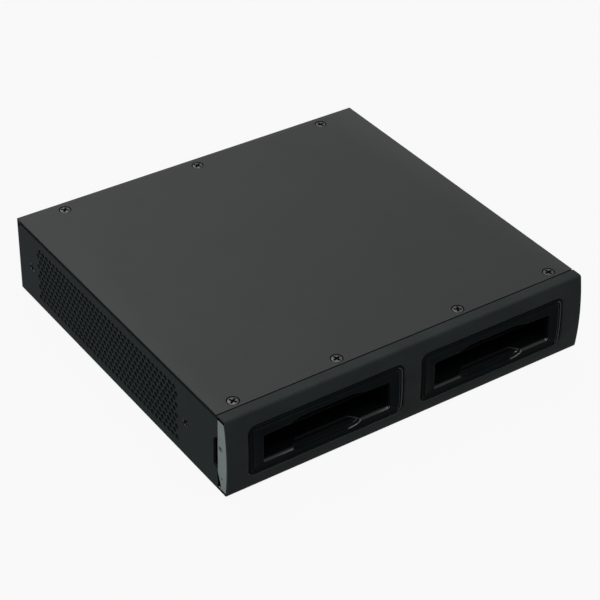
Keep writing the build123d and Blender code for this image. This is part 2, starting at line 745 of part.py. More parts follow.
def power_rocker():
    """The rocker at its off position, with a shallow V-shaped face."""
    half = ROCKER_W / 2
    tip = ROCKER_CREST + ROCKER_RISE
    face = Polyline((-half, 0.6), (-half, tip), (0, ROCKER_CREST), (half, tip), (half, 0.6))
    belly = ThreePointArc((half, 0.6), (0, -2.6), (-half, 0.6))
    solid = extrude(make_face([face, belly]), ROCKER_H / 2, both=True)
    solid = solid - rod("z", (0, 0, -5), 0.95, 10, BOSS_SIDES)
    return Pos(SWITCH_X, PIVOT_Y, SWITCH_Z) * Rot(0, 0, -ROCKER_TILT) * solid


def reset_switch_housing():
    """The small push switch at the board's rear edge."""
    z = BOARD_TOP + 3.0
    body = block((RESET_X - 3, RESET_X + 3), (PANEL_IN - 5.5, PANEL_IN - 0.3), (BOARD_TOP, BOARD_TOP + 6.0))
    return body - rod("y", (RESET_X, PANEL_IN - 4.3, z), 1.56, 6, HEAD_SIDES)


def reset_plunger():
    """The round button that a finger or a pen pushes in."""
    z = BOARD_TOP + 3.0
    plunger = rod("y", (RESET_X, PANEL_IN - 3.0, z), 1.5, 5.4, HEAD_SIDES)
    return chamfer(plunger.edges().group_by(Axis.Y)[-1], 0.3)


# Fan
def fan_screw_points():
    """The corners of the fan's square of holes, in X and Z."""
    half = FAN_HOLE_SPACING / 2
    return [(FAN_X + i * half, FAN_Z + k * half) for i in (-1, 1) for k in (-1, 1)]


def fan_frame():
    """A square duct with four struts that hold the motor plate and its shaft."""
    outer = closed(soft_rectangle(FAN_SIZE, FAN_SIZE, 3.0, 2)) - RegularPolygon(FAN_BORE_R, 24)
    duct = along_y(Pos(FAN_X, FAN_Z) * outer, PANEL_IN - FAN_DEPTH, PANEL_IN)
    holes = [tapped_hole("y", (x, PANEL_IN - FAN_DEPTH - 1, z), FAN_DEPTH + 2) for x, z in fan_screw_points()]
    arm = Pos(HUB_R + 5, 0) * Rectangle(12, 2.0)
    arms = [Rot(0, 0, 90 * turn + 20) * arm for turn in range(4)]
    struts = Sketch() + [RegularPolygon(HUB_R, HEAD_SIDES)] + arms
    struts = along_y(Pos(FAN_X, FAN_Z) * struts, PANEL_IN - 2.6, PANEL_IN - 0.2)
    shaft = rod("y", (FAN_X, PANEL_IN - FAN_DEPTH + 4, FAN_Z), SHAFT_R, FAN_DEPTH - 6)
    return duct - holes + struts + shaft


def blade_points(radius, chord, pitch):
    """Corners of one flat section across a fan blade, at a radius along +X."""
    lean = math.radians(pitch)
    corners = []
    for along in (-chord / 2, chord / 2):
        for thick in (-0.5, 0.5):
            across = along * math.cos(lean) - thick * math.sin(lean)
            rise = along * math.sin(lean) + thick * math.cos(lean)
            corners.append((radius, across, FAN_DEPTH / 2 - 0.8 + rise))
    return corners


def fan_rotor():
    """The hub with seven twisted blades, on its shaft's axis."""
    hub_front = 1.2
    hub_back = FAN_DEPTH - 3.1
    hub = rod("z", (0, 0, hub_front), HUB_R, hub_back - hub_front, 3 * BLADES)
    hub = chamfer(hub.edges().group_by(Axis.Z)[0], 1.0)
    root = blade_points(HUB_R - 1.2, 11.0, 52)
    tip = blade_points(BLADE_TIP_R, 12.5, 34)
    blade = ConvexPolyhedron(root + tip)
    blades = [Rot(0, 0, 360 / BLADES * index) * blade for index in range(BLADES)]
    rotor = hub + blades - rod("z", (0, 0, 3.8), SHAFT_R + 0.05, FAN_DEPTH)
    return Pos(FAN_X, PANEL_IN - FAN_DEPTH, FAN_Z) * Rot(-90, 0, 0) * rotor


# Screws that hold the plates
def top_cover_screws():
    """The seven countersunk screws in the cover."""
    return group([Pos(x, y, TOP) * countersunk_screw(6.0) for x, y in cover_screw_points()])


def side_screws():
    """Two countersunk screws in each side panel."""
    screws = []
    for y in SIDE_SCREW_Y:
        place = Pos(HALF_W, FRONT + y, FLOOR + SIDE_SCREW_Z)
        screw = place * Rot(0, 90, 0) * countersunk_screw(5.0)
        screws += [screw, mirrored(screw)]
    return group(screws)


def rear_panel_screws():
    """Four pan-head screws along the foot of the rear panel."""
    points = [(x, FLOOR + PANEL_SCREW_Z) for x in PANEL_SCREW_X]
    return group([Pos(x, PANEL_OUT, z) * Rot(-90, 0, 0) * pan_screw(4.0) for x, z in points])


def fan_screws():
    """Four pan-head screws that hold the fan on the rear panel."""
    return group([Pos(x, PANEL_OUT, z) * Rot(-90, 0, 0) * pan_screw(8.0) for x, z in fan_screw_points()])


def bezel_screws():
    """Four screws from inside the front wall into the bezel's bosses."""
    face = FRONT + SHEET_T
    return group([Pos(x, face, z) * Rot(-90, 0, 0) * pan_screw(5.5) for x, z in bezel_screw_points()])


def add_pair(name, shape):
    """Stores a piece for the right side and its mirror image for the left."""
    parts[name + "_right"] = shape
    parts[name + "_left"] = mirrored(shape)


def build():
    """Makes every piece of the dock and names it."""
    plain_side = side_panel_face()
    parts["base_pan"] = base_pan()
    parts["rear_panel"] = rear_panel()
    parts["top_cover"] = top_cover()
    parts["right_side_panel"] = side_panel(plain_side)
    parts["left_side_panel"] = mirrored(side_panel(perforated(plain_side)))
    parts["front_bezel"] = front_bezel()
    add_pair("bezel_end_cap", bezel_end_cap())
    add_pair("bay_frame", bay_frame())
    add_pair("drive_guide", drive_guide())
    add_pair("drive_connector", drive_connector())
    parts["drive_backplane"] = drive_backplane()
    parts["main_board"] = main_board()
    parts["board_standoffs"] = board_standoffs()
    parts["board_screws"] = board_screws()
    parts["board_link"] = board_link()
    parts["processor"] = processor()
    parts["heat_sink"] = heat_sink()
    parts["memory_chips"] = memory_chips()
    parts["capacitors"] = capacitors()
    parts["cell_holder"] = cell_holder()
    parts["coin_cell"] = coin_cell()
    for number, x in enumerate(NETWORK_X, start=1):
        parts[f"network_jack_{number}"] = network_jack(x)
    parts["usb_port"] = usb_port()
    parts["power_inlet"] = power_inlet()
    parts["power_switch_housing"] = power_switch_housing()
    parts["power_rocker"] = power_rocker()
    parts["reset_switch_housing"] = reset_switch_housing()
    parts["reset_plunger"] = reset_plunger()
    parts["fan_frame"] = fan_frame()
    parts["fan_rotor"] = fan_rotor()
    parts["top_cover_screws"] = top_cover_screws()
    parts["side_screws"] = side_screws()
    parts["rear_panel_screws"] = rear_panel_screws()
    parts["fan_screws"] = fan_screws()
    parts["bezel_screws"] = bezel_screws()
    parts["guide_screws"] = guide_screws()
    parts["rubber_feet"] = rubber_feet()


build()
os.makedirs("parts", exist_ok=True)
for node, solid in parts.items():
    export_step(solid, f"parts/{node}.step")
    print(node, [round(value, 2) for value in solid.bounding_box().size])
whole = Compound([solid for shape in parts.values() for solid in shape.solids()]).bounding_box()
print("whole", [round(value, 2) for value in (*whole.min, *whole.max)])
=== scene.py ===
"""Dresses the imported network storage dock: meshes, finishes, stage, light and camera.

Forms are drawn in millimetres and become metres when they are finished.
"""

import logging
import math
import random
from dataclasses import dataclass
from enum import Enum
from typing import Callable, Iterable, Sequence

import bmesh
import bpy
from mathutils import Matrix, Vector

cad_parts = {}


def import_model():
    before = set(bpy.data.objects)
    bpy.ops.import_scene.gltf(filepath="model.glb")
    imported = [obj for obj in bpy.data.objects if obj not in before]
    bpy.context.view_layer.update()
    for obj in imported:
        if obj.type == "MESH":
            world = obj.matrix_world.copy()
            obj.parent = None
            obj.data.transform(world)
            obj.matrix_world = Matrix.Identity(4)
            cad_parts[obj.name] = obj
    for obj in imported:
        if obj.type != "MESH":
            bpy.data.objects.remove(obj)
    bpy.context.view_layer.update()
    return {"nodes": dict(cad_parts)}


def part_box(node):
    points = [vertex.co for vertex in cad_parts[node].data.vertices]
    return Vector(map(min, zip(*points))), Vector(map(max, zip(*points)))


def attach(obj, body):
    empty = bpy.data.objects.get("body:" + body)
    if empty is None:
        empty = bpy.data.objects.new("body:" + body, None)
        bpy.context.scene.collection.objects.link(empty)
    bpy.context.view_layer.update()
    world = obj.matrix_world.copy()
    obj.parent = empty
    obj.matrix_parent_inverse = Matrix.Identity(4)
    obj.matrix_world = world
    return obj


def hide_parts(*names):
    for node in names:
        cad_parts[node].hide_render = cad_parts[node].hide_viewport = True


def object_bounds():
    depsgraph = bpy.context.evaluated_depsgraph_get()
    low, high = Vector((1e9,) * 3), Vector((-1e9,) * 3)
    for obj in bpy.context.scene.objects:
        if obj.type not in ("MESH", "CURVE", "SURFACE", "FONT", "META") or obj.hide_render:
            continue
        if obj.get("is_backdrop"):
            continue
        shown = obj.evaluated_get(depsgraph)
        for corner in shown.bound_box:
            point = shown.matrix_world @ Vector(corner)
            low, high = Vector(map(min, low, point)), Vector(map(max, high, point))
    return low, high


MM = 0.001
FULL_TURN = 2 * math.pi
SMOOTH_ANGLE = math.radians(32)
SIDES = {-1: "left", 1: "right"}

# Tolerances in millimetres
SAME_CORNER = 0.0005
SLICE_GAP = 0.001
WELD_GAP = 0.002
NEAR = 1e-4
TOUCH = 0.01

# How far a cutting form reaches past what it cuts, in millimetres
PAST = 1.0

# Corners this near to the axis of a countersunk hole are the hole's own, in millimetres
HOLE_REACH = 3.4

# Neighbouring faces with less than this angle between them lie in one plane, in radians
SAME_PLANE = 0.008

# A face is square to an axis where its direction has at least this much along it
FLAT = 0.9

# A new corner on an edge keeps at least this share of the edge from its ends
NEW_CORNER = 1e-3

Point2 = tuple[float, float]
Span = tuple[float, float]
Spot = tuple[int, float]
Colour = tuple[float, float, float]

log = logging.getLogger("dock")


class Plane(Enum):
    """The plane that an outline lies in. Its plates grow along the third axis."""

    XY = (0, 1, 2)
    XZ = (0, 2, 1)
    YZ = (1, 2, 0)

    def at(self, across: float, up: float, along: float) -> Vector:
        """Finds a point in space.

        Args:
            across: Distance along the plane's first axis.
            up: Distance along the plane's second axis.
            along: Distance along the axis that the plane faces.

        Returns:
            The point.
        """
        point = Vector((0.0, 0.0, 0.0))
        for axis, value in zip(self.value, (across, up, along)):
            point[axis] = value
        return point


class Change(Enum):
    """How one solid form changes another."""

    CUT = "DIFFERENCE"
    JOIN = "UNION"


class Head(Enum):
    """The shape of a screw's head."""

    COUNTERSUNK = "countersunk"
    PAN = "pan"


# Outlines


def circle(centre: Point2, radius: float, sides: int = 32) -> list[Point2]:
    """Draws a circle.

    Args:
        centre: Its middle.
        radius: Its radius.
        sides: How many corners it has.

    Returns:
        The corners in order.
    """
    turns = [FULL_TURN * index / sides for index in range(sides)]
    return [(centre[0] + radius * math.cos(t), centre[1] + radius * math.sin(t)) for t in turns]


def soft_box(centre: Point2, half: Point2, radius: float, steps: int = 8) -> list[Point2]:
    """Draws a rectangle with round corners.

    Args:
        centre: Its middle.
        half: Half its width and half its height.
        radius: The corners' radius.
        steps: How many flats one corner has.

    Returns:
        The corner points in order.
    """
    points = []
    for corner in range(4):
        across = centre[0] + (half[0] - radius) * (1 if corner in (0, 3) else -1)
        up = centre[1] + (half[1] - radius) * (1 if corner in (0, 1) else -1)
        for step in range(steps + 1):
            turn = math.pi / 2 * (corner + step / steps)
            points.append((across + radius * math.cos(turn), up + radius * math.sin(turn)))
    return points


def circle_through(first: Point2, second: Point2, third: Point2) -> tuple[Point2, float]:
    """Finds the circle through three points.

    Args:
        first: A point.
        second: A point.
        third: A point.

    Returns:
        The circle's centre and radius.
    """
    (ax, ay), (bx, by), (cx, cy) = first, second, third
    scale = 2 * (ax * (by - cy) + bx * (cy - ay) + cx * (ay - by))
    a_sq, b_sq, c_sq = ax**2 + ay**2, bx**2 + by**2, cx**2 + cy**2
    x = (a_sq * (by - cy) + b_sq * (cy - ay) + c_sq * (ay - by)) / scale
    y = (a_sq * (cx - bx) + b_sq * (ax - cx) + c_sq * (bx - ax)) / scale
    return (x, y), math.hypot(ax - x, ay - y)


def round_corners(corners: Sequence[tuple[float, float, float]], steps: int = 4) -> list[Point2]:
    """Rounds the corners of an outline that turns to the left.

    Args:
        corners: Each corner's place and radius, where 0 leaves it sharp.
        steps: How many flats a rounded corner has.

    Returns:
        The outline's points in order.
    """
    points = []
    for index, (x, y, radius) in enumerate(corners):
        here = Vector((x, y))
        before = (Vector(corners[index - 1][:2]) - here).normalized()
        after = (Vector(corners[(index + 1) % len(corners)][:2]) - here).normalized()
        if not radius:
            points.append((x, y))
            continue
        half = before.angle(after) / 2
        reach = radius / math.tan(half)
        middle = here + (before + after).normalized() * radius / math.sin(half)
        start, end = here + before * reach - middle, here + after * reach - middle
        for step in range(steps + 1):
            spot = middle + start.slerp(end, step / steps)
            points.append((spot.x, spot.y))
    return points


def crossings(outline: Sequence[Point2], levels: Sequence[float]) -> list[Spot]:
    """Finds an outline's corners and the places where it crosses some heights.

    Args:
        outline: The outline's points in order.
        levels: The heights.

    Returns:
        For each place the number of the corner before it, and its share of the way to the next.
    """
    spots = []
    for index, here in enumerate(outline):
        rise = outline[(index + 1) % len(outline)][1] - here[1]
        shares = [(level - here[1]) / rise for level in levels] if abs(rise) > NEAR else []
        spots.append((index, 0.0))
        spots += [(index, share) for share in sorted(shares) if NEW_CORNER < share < 1 - NEW_CORNER]
    return spots


def along(outline: Sequence[Point2], spots: Sequence[Spot]) -> list[Point2]:
    """Finds places on an outline.

    Args:
        outline: The outline's points in order.
        spots: For each place a corner's number and the share of the way to the next.

    Returns:
        The places.
    """
    points = []
    for index, share in spots:
        (x, z), (next_x, next_z) = outline[index], outline[(index + 1) % len(outline)]
        points.append((x + (next_x - x) * share, z + (next_z - z) * share))
    return points


def spread(outline: Sequence[Point2], amounts: Sequence[float]) -> list[Point2]:
    """Moves the points of an outline that turns to the left outwards.

    Args:
        outline: The outline's points in order.
        amounts: How far each point is moved.

    Returns:
        The moved points.
    """
    spots = [Vector(point) for point in outline]
    points = []
    for index, here in enumerate(spots):
        back = (here - spots[index - 1]).normalized()
        ahead = (spots[(index + 1) % len(spots)] - here).normalized()
        first, second = Vector((back.y, -back.x)), Vector((ahead.y, -ahead.x))
        moved = here + (first + second) * amounts[index] / (1 + first.dot(second))
        points.append((moved.x, moved.y))
    return points


# Solid forms


def picked(items: Iterable, kind: type) -> list:
    """Picks the items of one kind, such as the edges that an operator made.

    Args:
        items: The items.
        kind: Their type.

    Returns:
        The items of that type, in order.
    """
    return [item for item in items if isinstance(item, kind)]


class Form:
    """A mesh in the making, in millimetres."""

    def __init__(self) -> None:
        """Starts with nothing."""
        self.mesh = bmesh.new()

    def fill(self, plane: Plane, runs: Iterable[Sequence[Point2]], level: float = 0.0) -> list:
        """Fills the area between an outline and the openings in it.

        Args:
            plane: The plane of the outlines.
            runs: The outline's corners in order, then those of each opening.
            level: Where the area lies along the plane's own axis.

        Returns:
            The new faces and edges.
        """
        edges = []
        for run in runs:
            corners = [self.mesh.verts.new(plane.at(a, b, level)) for a, b in run]
            edges += [self.mesh.edges.new(pair) for pair in zip(corners, corners[1:] + corners[:1])]
        return bmesh.ops.triangle_fill(self.mesh, use_beauty=True, edges=edges)["geom"]

    def plate(
        self, plane: Plane, outline: Sequence[Point2], holes: Iterable[Sequence[Point2]], span: Span
    ) -> "Form":
        """Adds a flat plate with holes through it.

        Args:
            plane: The plane of the outline.
            outline: The plate's corners in order.
            holes: The corners of each hole in order.
            span: Where the plate starts and ends along the plane's own axis.

        Returns:
            The form.
        """
        faces = picked(self.fill(plane, (outline, *holes), span[0]), bmesh.types.BMFace)
        grown = bmesh.ops.extrude_face_region(self.mesh, geom=faces)["geom"]
        corners = picked(grown, bmesh.types.BMVert)
        bmesh.ops.translate(self.mesh, verts=corners, vec=plane.at(0, 0, span[1] - span[0]))
        return self.tidy()

    def block(self, x: Span, y: Span, z: Span) -> "Form":
        """Adds a box.

        Args:
            x: Its low and high ends along X.
            y: Its low and high ends along Y.
            z: Its low and high ends along Z.

        Returns:
            The form.
        """
        middle = [(low + high) / 2 for low, high in (x, y, z)]
        size = [abs(high - low) for low, high in (x, y, z)]
        place = Matrix.Translation(middle) @ Matrix.Diagonal((*size, 1.0))
        bmesh.ops.create_cube(self.mesh, size=1.0, matrix=place)
        return self

    def turned(self, profile: Sequence[Point2], place: Matrix, steps: int = 32) -> "Form":
        """Adds a form that is turned round the Z axis.

        Args:
            profile: Radius and height of each point of the outline, from one pole to the other.
            place: Where the turned form goes.
            steps: How many flats the turn has.

        Returns:
            The form.
        """
        corners = [self.mesh.verts.new((radius, 0.0, height)) for radius, height in profile]
        edges = [self.mesh.edges.new(pair) for pair in zip(corners, corners[1:])]
        before = set(self.mesh.verts) - set(corners)
        bmesh.ops.spin(
            self.mesh,
            geom=corners + edges,
            cent=(0.0, 0.0, 0.0),
            axis=(0.0, 0.0, 1.0),
            dvec=(0.0, 0.0, 0.0),
            angle=FULL_TURN,
            steps=steps,
            use_merge=True,
            use_duplicate=False,
        )
        new = [corner for corner in self.mesh.verts if corner not in before]
        bmesh.ops.transform(self.mesh, verts=new, matrix=place)
        return self.tidy()

    def hull(self, points: Iterable[Sequence[float]]) -> "Form":
        """Adds the tightest flat-sided solid round some points.

        Args:
            points: The points in space.

        Returns:
            The form.
        """
        corners = [self.mesh.verts.new(point) for point in points]
        inside = bmesh.ops.convex_hull(self.mesh, input=corners)["geom_interior"]
        spare = picked(inside, bmesh.types.BMVert)
        bmesh.ops.delete(self.mesh, geom=spare, context="VERTS")
        return self

    def skin(
        self,
        rows: Sequence[Sequence[Vector]],
        closed: bool = True,
        paint: Callable[[int, int], int] = lambda row, column: 0,
    ) -> "Form":
        """Adds a surface through rows of points.

        Args:
            rows: The rows, each with the same number of points.
            closed: Whether each row's end meets its start.
            paint: Finds which of the piece's finishes a face has, from its row and column.

        Returns:
            The form.
        """
        grid = [[self.mesh.verts.new(point) for point in row] for row in rows]
        for number, (lower, upper) in enumerate(zip(grid, grid[1:])):
            pairs = list(zip(lower, upper))
            if closed:
                pairs.append(pairs[0])
            for column, ((a, b), (c, d)) in enumerate(zip(pairs, pairs[1:])):
                self.mesh.faces.new((a, b, d, c)).material_index = paint(number, column)
        return self

    def sheet(self, runs: Iterable[Sequence[Point2]], levels: Iterable[float]) -> "Form":
        """Adds a flat sheet in X and Z that is divided at some heights.

        Args:
            runs: The outlines of the sheet and of its openings.
            levels: The heights.

        Returns:
            The form.
        """
        self.fill(Plane.XZ, runs)
        for level in levels:
            everything = self.mesh.verts[:] + self.mesh.edges[:] + self.mesh.faces[:]
            bmesh.ops.bisect_plane(
                self.mesh,
                geom=everything,
                dist=SLICE_GAP,
                plane_co=(0, 0, level),
                plane_no=(0, 0, 1),
            )
        return self

    def tidy(self) -> "Form":
        """Merges corners that coincide and turns every face outwards."""
        bmesh.ops.remove_doubles(self.mesh, verts=self.mesh.verts, dist=SAME_CORNER)
        bmesh.ops.recalc_face_normals(self.mesh, faces=self.mesh.faces)
        return self

    def dissolve(self) -> "Form":
        """Joins neighbouring faces that lie in one plane."""
        bmesh.ops.dissolve_limit(
            self.mesh, angle_limit=SAME_PLANE, verts=self.mesh.verts, edges=self.mesh.edges
        )
        return self

    def open_edges(self, test: Callable[[Vector], bool] = lambda spot: True) -> list:
        """Finds the edges that have one face only and whose corners all pass a test.

        Args:
            test: Tells of a corner's place whether it is wanted.

        Returns:
            The edges.
        """
        lines = [line for line in self.mesh.edges if line.is_boundary]
        return [line for line in lines if all(test(corner.co) for corner in line.verts)]

    def stretch(self, lines: list) -> tuple[list, list]:
        """Grows faces from some edges, so that the far side can be moved.

        Args:
            lines: The edges.

        Returns:
            The far side's edges and corners.
        """
        made = bmesh.ops.extrude_edge_only(self.mesh, edges=lines)["geom"]
        return picked(made, bmesh.types.BMEdge), picked(made, bmesh.types.BMVert)

    def close(self) -> "Form":
        """Fills what is open."""
        bmesh.ops.triangle_fill(self.mesh, use_beauty=True, edges=self.open_edges())
        return self

    def absorb(self, mesh: bmesh.types.BMesh) -> None:
        """Takes another mesh in and uses it up."""
        spare = bpy.data.meshes.new("spare")
        mesh.to_mesh(spare)
        self.mesh.from_mesh(spare)
        mesh.free()
        bpy.data.meshes.remove(spare)

    def stand_in(self) -> bpy.types.Object:
        """Puts the form in the scene for a moment."""
        mesh = bpy.data.meshes.new("stand_in")
        self.mesh.to_mesh(mesh)
        made = bpy.data.objects.new("stand_in", mesh)
        bpy.context.scene.collection.objects.link(made)
        return made

    def change(self, tool: "Form", how: Change) -> "Form":
        """Cuts another form out of this one, or joins it on.

        Args:
            tool: The other form, which is used up.
            how: Whether it is cut out or joined on.

        Returns:
            The form.
        """
        base, other = self.stand_in(), tool.stand_in()
        step = base.modifiers.new("step", "BOOLEAN")
        step.operation = how.value
        step.solver = "EXACT"
        step.object = other
        made = bmesh.new()
        made.from_object(base, bpy.context.evaluated_depsgraph_get())
        for spare in (base, other):
            mesh = spare.data
            bpy.data.objects.remove(spare)
            bpy.data.meshes.remove(mesh)
        self.mesh.free()
        tool.mesh.free()
        self.mesh = made
        return self

    def copies(self, places: Iterable[Matrix]) -> "Form":
        """Repeats the form at each place, in place of itself.

        Args:
            places: Where each copy goes.

        Returns:
            A new form with all the copies.
        """
        made = Form()
        for place in places:
            copy = self.mesh.copy()
            bmesh.ops.transform(copy, verts=copy.verts, matrix=place)
            made.absorb(copy)
        self.mesh.free()
        return made

    def finish(self, name: str, edge: float = 0.0, segments: int = 2) -> bpy.types.Object:
        """Makes the form a scene object.

        Args:
            name: The piece's name.
            edge: How wide its sharp edges are rounded, or 0 to leave them.
            segments: How many flats a rounded edge has.

        Returns:
            The object, in metres and at the origin.
        """
        bmesh.ops.scale(self.mesh, vec=(MM, MM, MM), verts=self.mesh.verts)
        mesh = bpy.data.meshes.new(name)
        self.mesh.to_mesh(mesh)
        self.mesh.free()
        mesh.shade_smooth()
        mesh.set_sharp_from_angle(angle=SMOOTH_ANGLE)
        piece = bpy.data.objects.new(name, mesh)
        bpy.context.scene.collection.objects.link(piece)
        if edge:
            soften(piece, edge, segments)
        return piece


def soften(piece: bpy.types.Object, width: float, segments: int = 2, weld: bool = False) -> None:
    """Rounds the sharp edges of a piece.

    Args:
        piece: The object.
        width: The rounding's width in millimetres.
        segments: How many flats the rounding has.
        weld: Whether the mesh is loose triangles that have to be joined first.
    """
    if weld:
        join = piece.modifiers.new("join", "WELD")
        join.merge_threshold = WELD_GAP * MM
    rounding = piece.modifiers.new("rounding", "BEVEL")
    rounding.width = width * MM
    rounding.segments = segments
    rounding.limit_method = "ANGLE"
    rounding.angle_limit = SMOOTH_ANGLE
    rounding.use_clamp_overlap = True
    rounding.harden_normals = True


# Materials


class Signal:
    """A value that flows through a material, with Python's operators."""

    def __init__(self, graph: "Graph", socket: bpy.types.NodeSocket) -> None:
        """Wraps one output of a node."""
        self.graph = graph
        self.socket = socket

    def __add__(self, other: "Value") -> "Signal":
        """Adds another value."""
        return self.graph.math("ADD", self, other)

    def __radd__(self, other: "Value") -> "Signal":
        """Is added to another value."""
        return self.graph.math("ADD", other, self)

    def __sub__(self, other: "Value") -> "Signal":
        """Takes another value away."""
        return self.graph.math("SUBTRACT", self, other)

    def __rsub__(self, other: "Value") -> "Signal":
        """Is taken away from another value."""
        return self.graph.math("SUBTRACT", other, self)

    def __mul__(self, other: "Value") -> "Signal":
        """Multiplies by another value."""
        return self.graph.math("MULTIPLY", self, other)

    def rise(self, start: float, end: float) -> "Signal":
        """Turns the value into a mask with a soft edge.

        Args:
            start: The value at which the mask is 0.
            end: The value at which the mask is 1.

        Returns:
            The mask.
        """
        settings = {"interpolation_type": "SMOOTHSTEP"}
        return self.graph.add("MapRange", settings, {0: self, 1: start, 2: end}, 0)


Value = float | Signal


class Graph:
    """The nodes of one material, or of the world."""

    def __init__(self, owner: bpy.types.Material | bpy.types.World) -> None:
        """Clears the owner's nodes."""
        owner.use_nodes = True
        self.tree = owner.node_tree
        self.tree.nodes.clear()

    def add(
        self, kind: str, settings: dict, inputs: dict, output: int | str | None = 0
    ) -> "Signal | None":
        """Adds one node.

        Args:
            kind: The node's type, without its prefix.
            settings: The node's own options, set before its inputs.
            inputs: What goes into each input: a value or another signal.
            output: Which of its outputs is wanted, or None for a node that ends the tree.

        Returns:
            The wanted output.
        """
        node = self.tree.nodes.new("ShaderNode" + kind)
        for option, value in settings.items():
            setattr(node, option, value)
        for key, value in inputs.items():
            if isinstance(value, Signal):
                self.tree.links.new(value.socket, node.inputs[key])
            else:
                node.inputs[key].default_value = value
        return None if output is None else Signal(self, node.outputs[output])

    def math(self, operation: str, first: Value, second: Value) -> Signal:
        """Works out one number from two.

        Args:
            operation: What is done with them.
            first: The first number.
            second: The second number.

        Returns:
            The result.
        """
        return self.add("Math", {"operation": operation}, {0: first, 1: second})

    def mix(self, mask: Value, low: "Colour | Signal", high: "Colour | Signal") -> Signal:
        """Mixes two colours.

        Args:
            mask: 0 for the first colour, 1 for the second.
            low: The first colour.
            high: The second colour.

        Returns:
            The mixed colour.
        """
        ends = [tone if isinstance(tone, Signal) else (*tone, 1.0) for tone in (low, high)]
        inputs = {0: mask, 6: ends[0], 7: ends[1]}
        return self.add("Mix", {"data_type": "RGBA", "clamp_factor": True}, inputs, 2)

    def place(self, stretch: Sequence[float] = (1.0, 1.0, 1.0)) -> Signal:
        """Finds the place on the object in millimetres.

        Args:
            stretch: How much finer a pattern is along each axis.

        Returns:
            The place.
        """
        spot = self.add("TexCoord", {}, {}, "Object")
        scale = [factor / MM for factor in stretch]
        return self.add("VectorMath", {"operation": "MULTIPLY"}, {0: spot, 1: scale})

    def noise(
        self, size: float, detail: float = 2.0, stretch: Sequence[float] = (1, 1, 1)
    ) -> Signal:
        """Adds soft noise.

        Args:
            size: The size of its blotches in millimetres.
            detail: How much finer noise is laid over it.
            stretch: How much finer it is along each axis.

        Returns:
            Noise from 0 to 1.
        """
        inputs = {"Vector": self.place(stretch), "Scale": 1 / size, "Detail": detail}
        return self.add("TexNoise", {}, inputs, 0)

    def cells(self, size: float, feature: str = "F1", output: int | str = "Distance") -> Signal:
        """Adds a pattern of cells.

        Args:
            size: The size of a cell in millimetres.
            feature: What is measured in each cell.
            output: The distance or the colour.

        Returns:
            The measure.
        """
        inputs = {"Vector": self.place(), "Scale": 1 / size}
        return self.add("TexVoronoi", {"feature": feature}, inputs, output)

    def bump(self, height: Signal, depth: float, under: Signal | None = None) -> Signal:
        """Tilts the surface by a height.

        Args:
            height: The height, from 0 to 1.
            depth: How deep 1 is, in millimetres.
            under: A coarser bump that this one lies on.

        Returns:
            The surface's direction.
        """
        inputs = {"Height": height, "Distance": depth * MM, "Strength": 1.0}
        if under is not None:
            inputs["Normal"] = under
        return self.add("Bump", {}, inputs)

    def seen(self) -> Signal:
        """Finds whether a ray comes from the camera, a gloss or a clear piece."""
        seen = self.add("LightPath", {}, {}, "Is Camera Ray")
        rays = seen.socket.node.outputs
        for kind in ("Glossy", "Transmission"):
            seen = self.math("MAXIMUM", seen, Signal(self, rays[f"Is {kind} Ray"]))
        return seen

    def end(self, shader: Signal, kind: str = "Material") -> None:
        """Ends the nodes.

        Args:
            shader: What is shown.
            kind: Material or World, whichever the nodes belong to.
        """
        self.add("Output" + kind, {}, {"Surface": shader}, None)


def shade(colour: Colour, factor: float) -> Colour:
    """Makes a colour lighter or darker.

    Args:
        colour: The colour.
        factor: How many times as light it becomes.

    Returns:
        The new colour.
    """
    return tuple(min(1.0, channel * factor) for channel in colour)


@dataclass(frozen=True)
class Finish:
    """A finish. Each kind says what goes into its surface shader."""

    name: str
    colour: Colour

    def material(self) -> bpy.types.Material:
        """Builds the finish's material."""
        made = bpy.data.materials.new(self.name)
        graph = Graph(made)
        graph.end(graph.add("BsdfPrincipled", {}, self.sockets(graph)))
        return made

    def sockets(self, graph: Graph) -> dict:
        """Builds the finish's pattern.

        Args:
            graph: The nodes that the pattern is added to.

        Returns:
            What goes into each input of the surface shader.
        """
        raise NotImplementedError


@dataclass(frozen=True)
class Paint(Finish):
    """Baked powder paint with a fine orange-peel skin."""

    roughness: float = 0.46
    gloss: float = 0.5
    grain: float = 0.55
    depth: float = 0.012

    def sockets(self, graph: Graph) -> dict:
        """Builds the paint's pattern."""
        clouds = graph.noise(38.0, 3.0)
        speckle = graph.noise(0.7, 1.0)
        grain = graph.noise(self.grain, 2.0)
        tone = graph.mix(clouds.rise(0.25, 0.75), shade(self.colour, 0.96), shade(self.colour, 1.05))
        tone = graph.mix(speckle.rise(0.66, 0.8) * 0.3, tone, shade(self.colour, 1.9))
        smudge = graph.noise(16.0, 2.0).rise(0.45, 0.7)
        roughness = self.roughness + (grain - 0.5) * 0.12 + smudge * 0.015
        peel = graph.bump(graph.noise(2.6, 1.0), self.depth * 0.9)
        return {
            "Base Color": tone,
            "Roughness": roughness,
            "Specular IOR Level": self.gloss,
            "Normal": graph.bump(grain, self.depth, peel),
        }


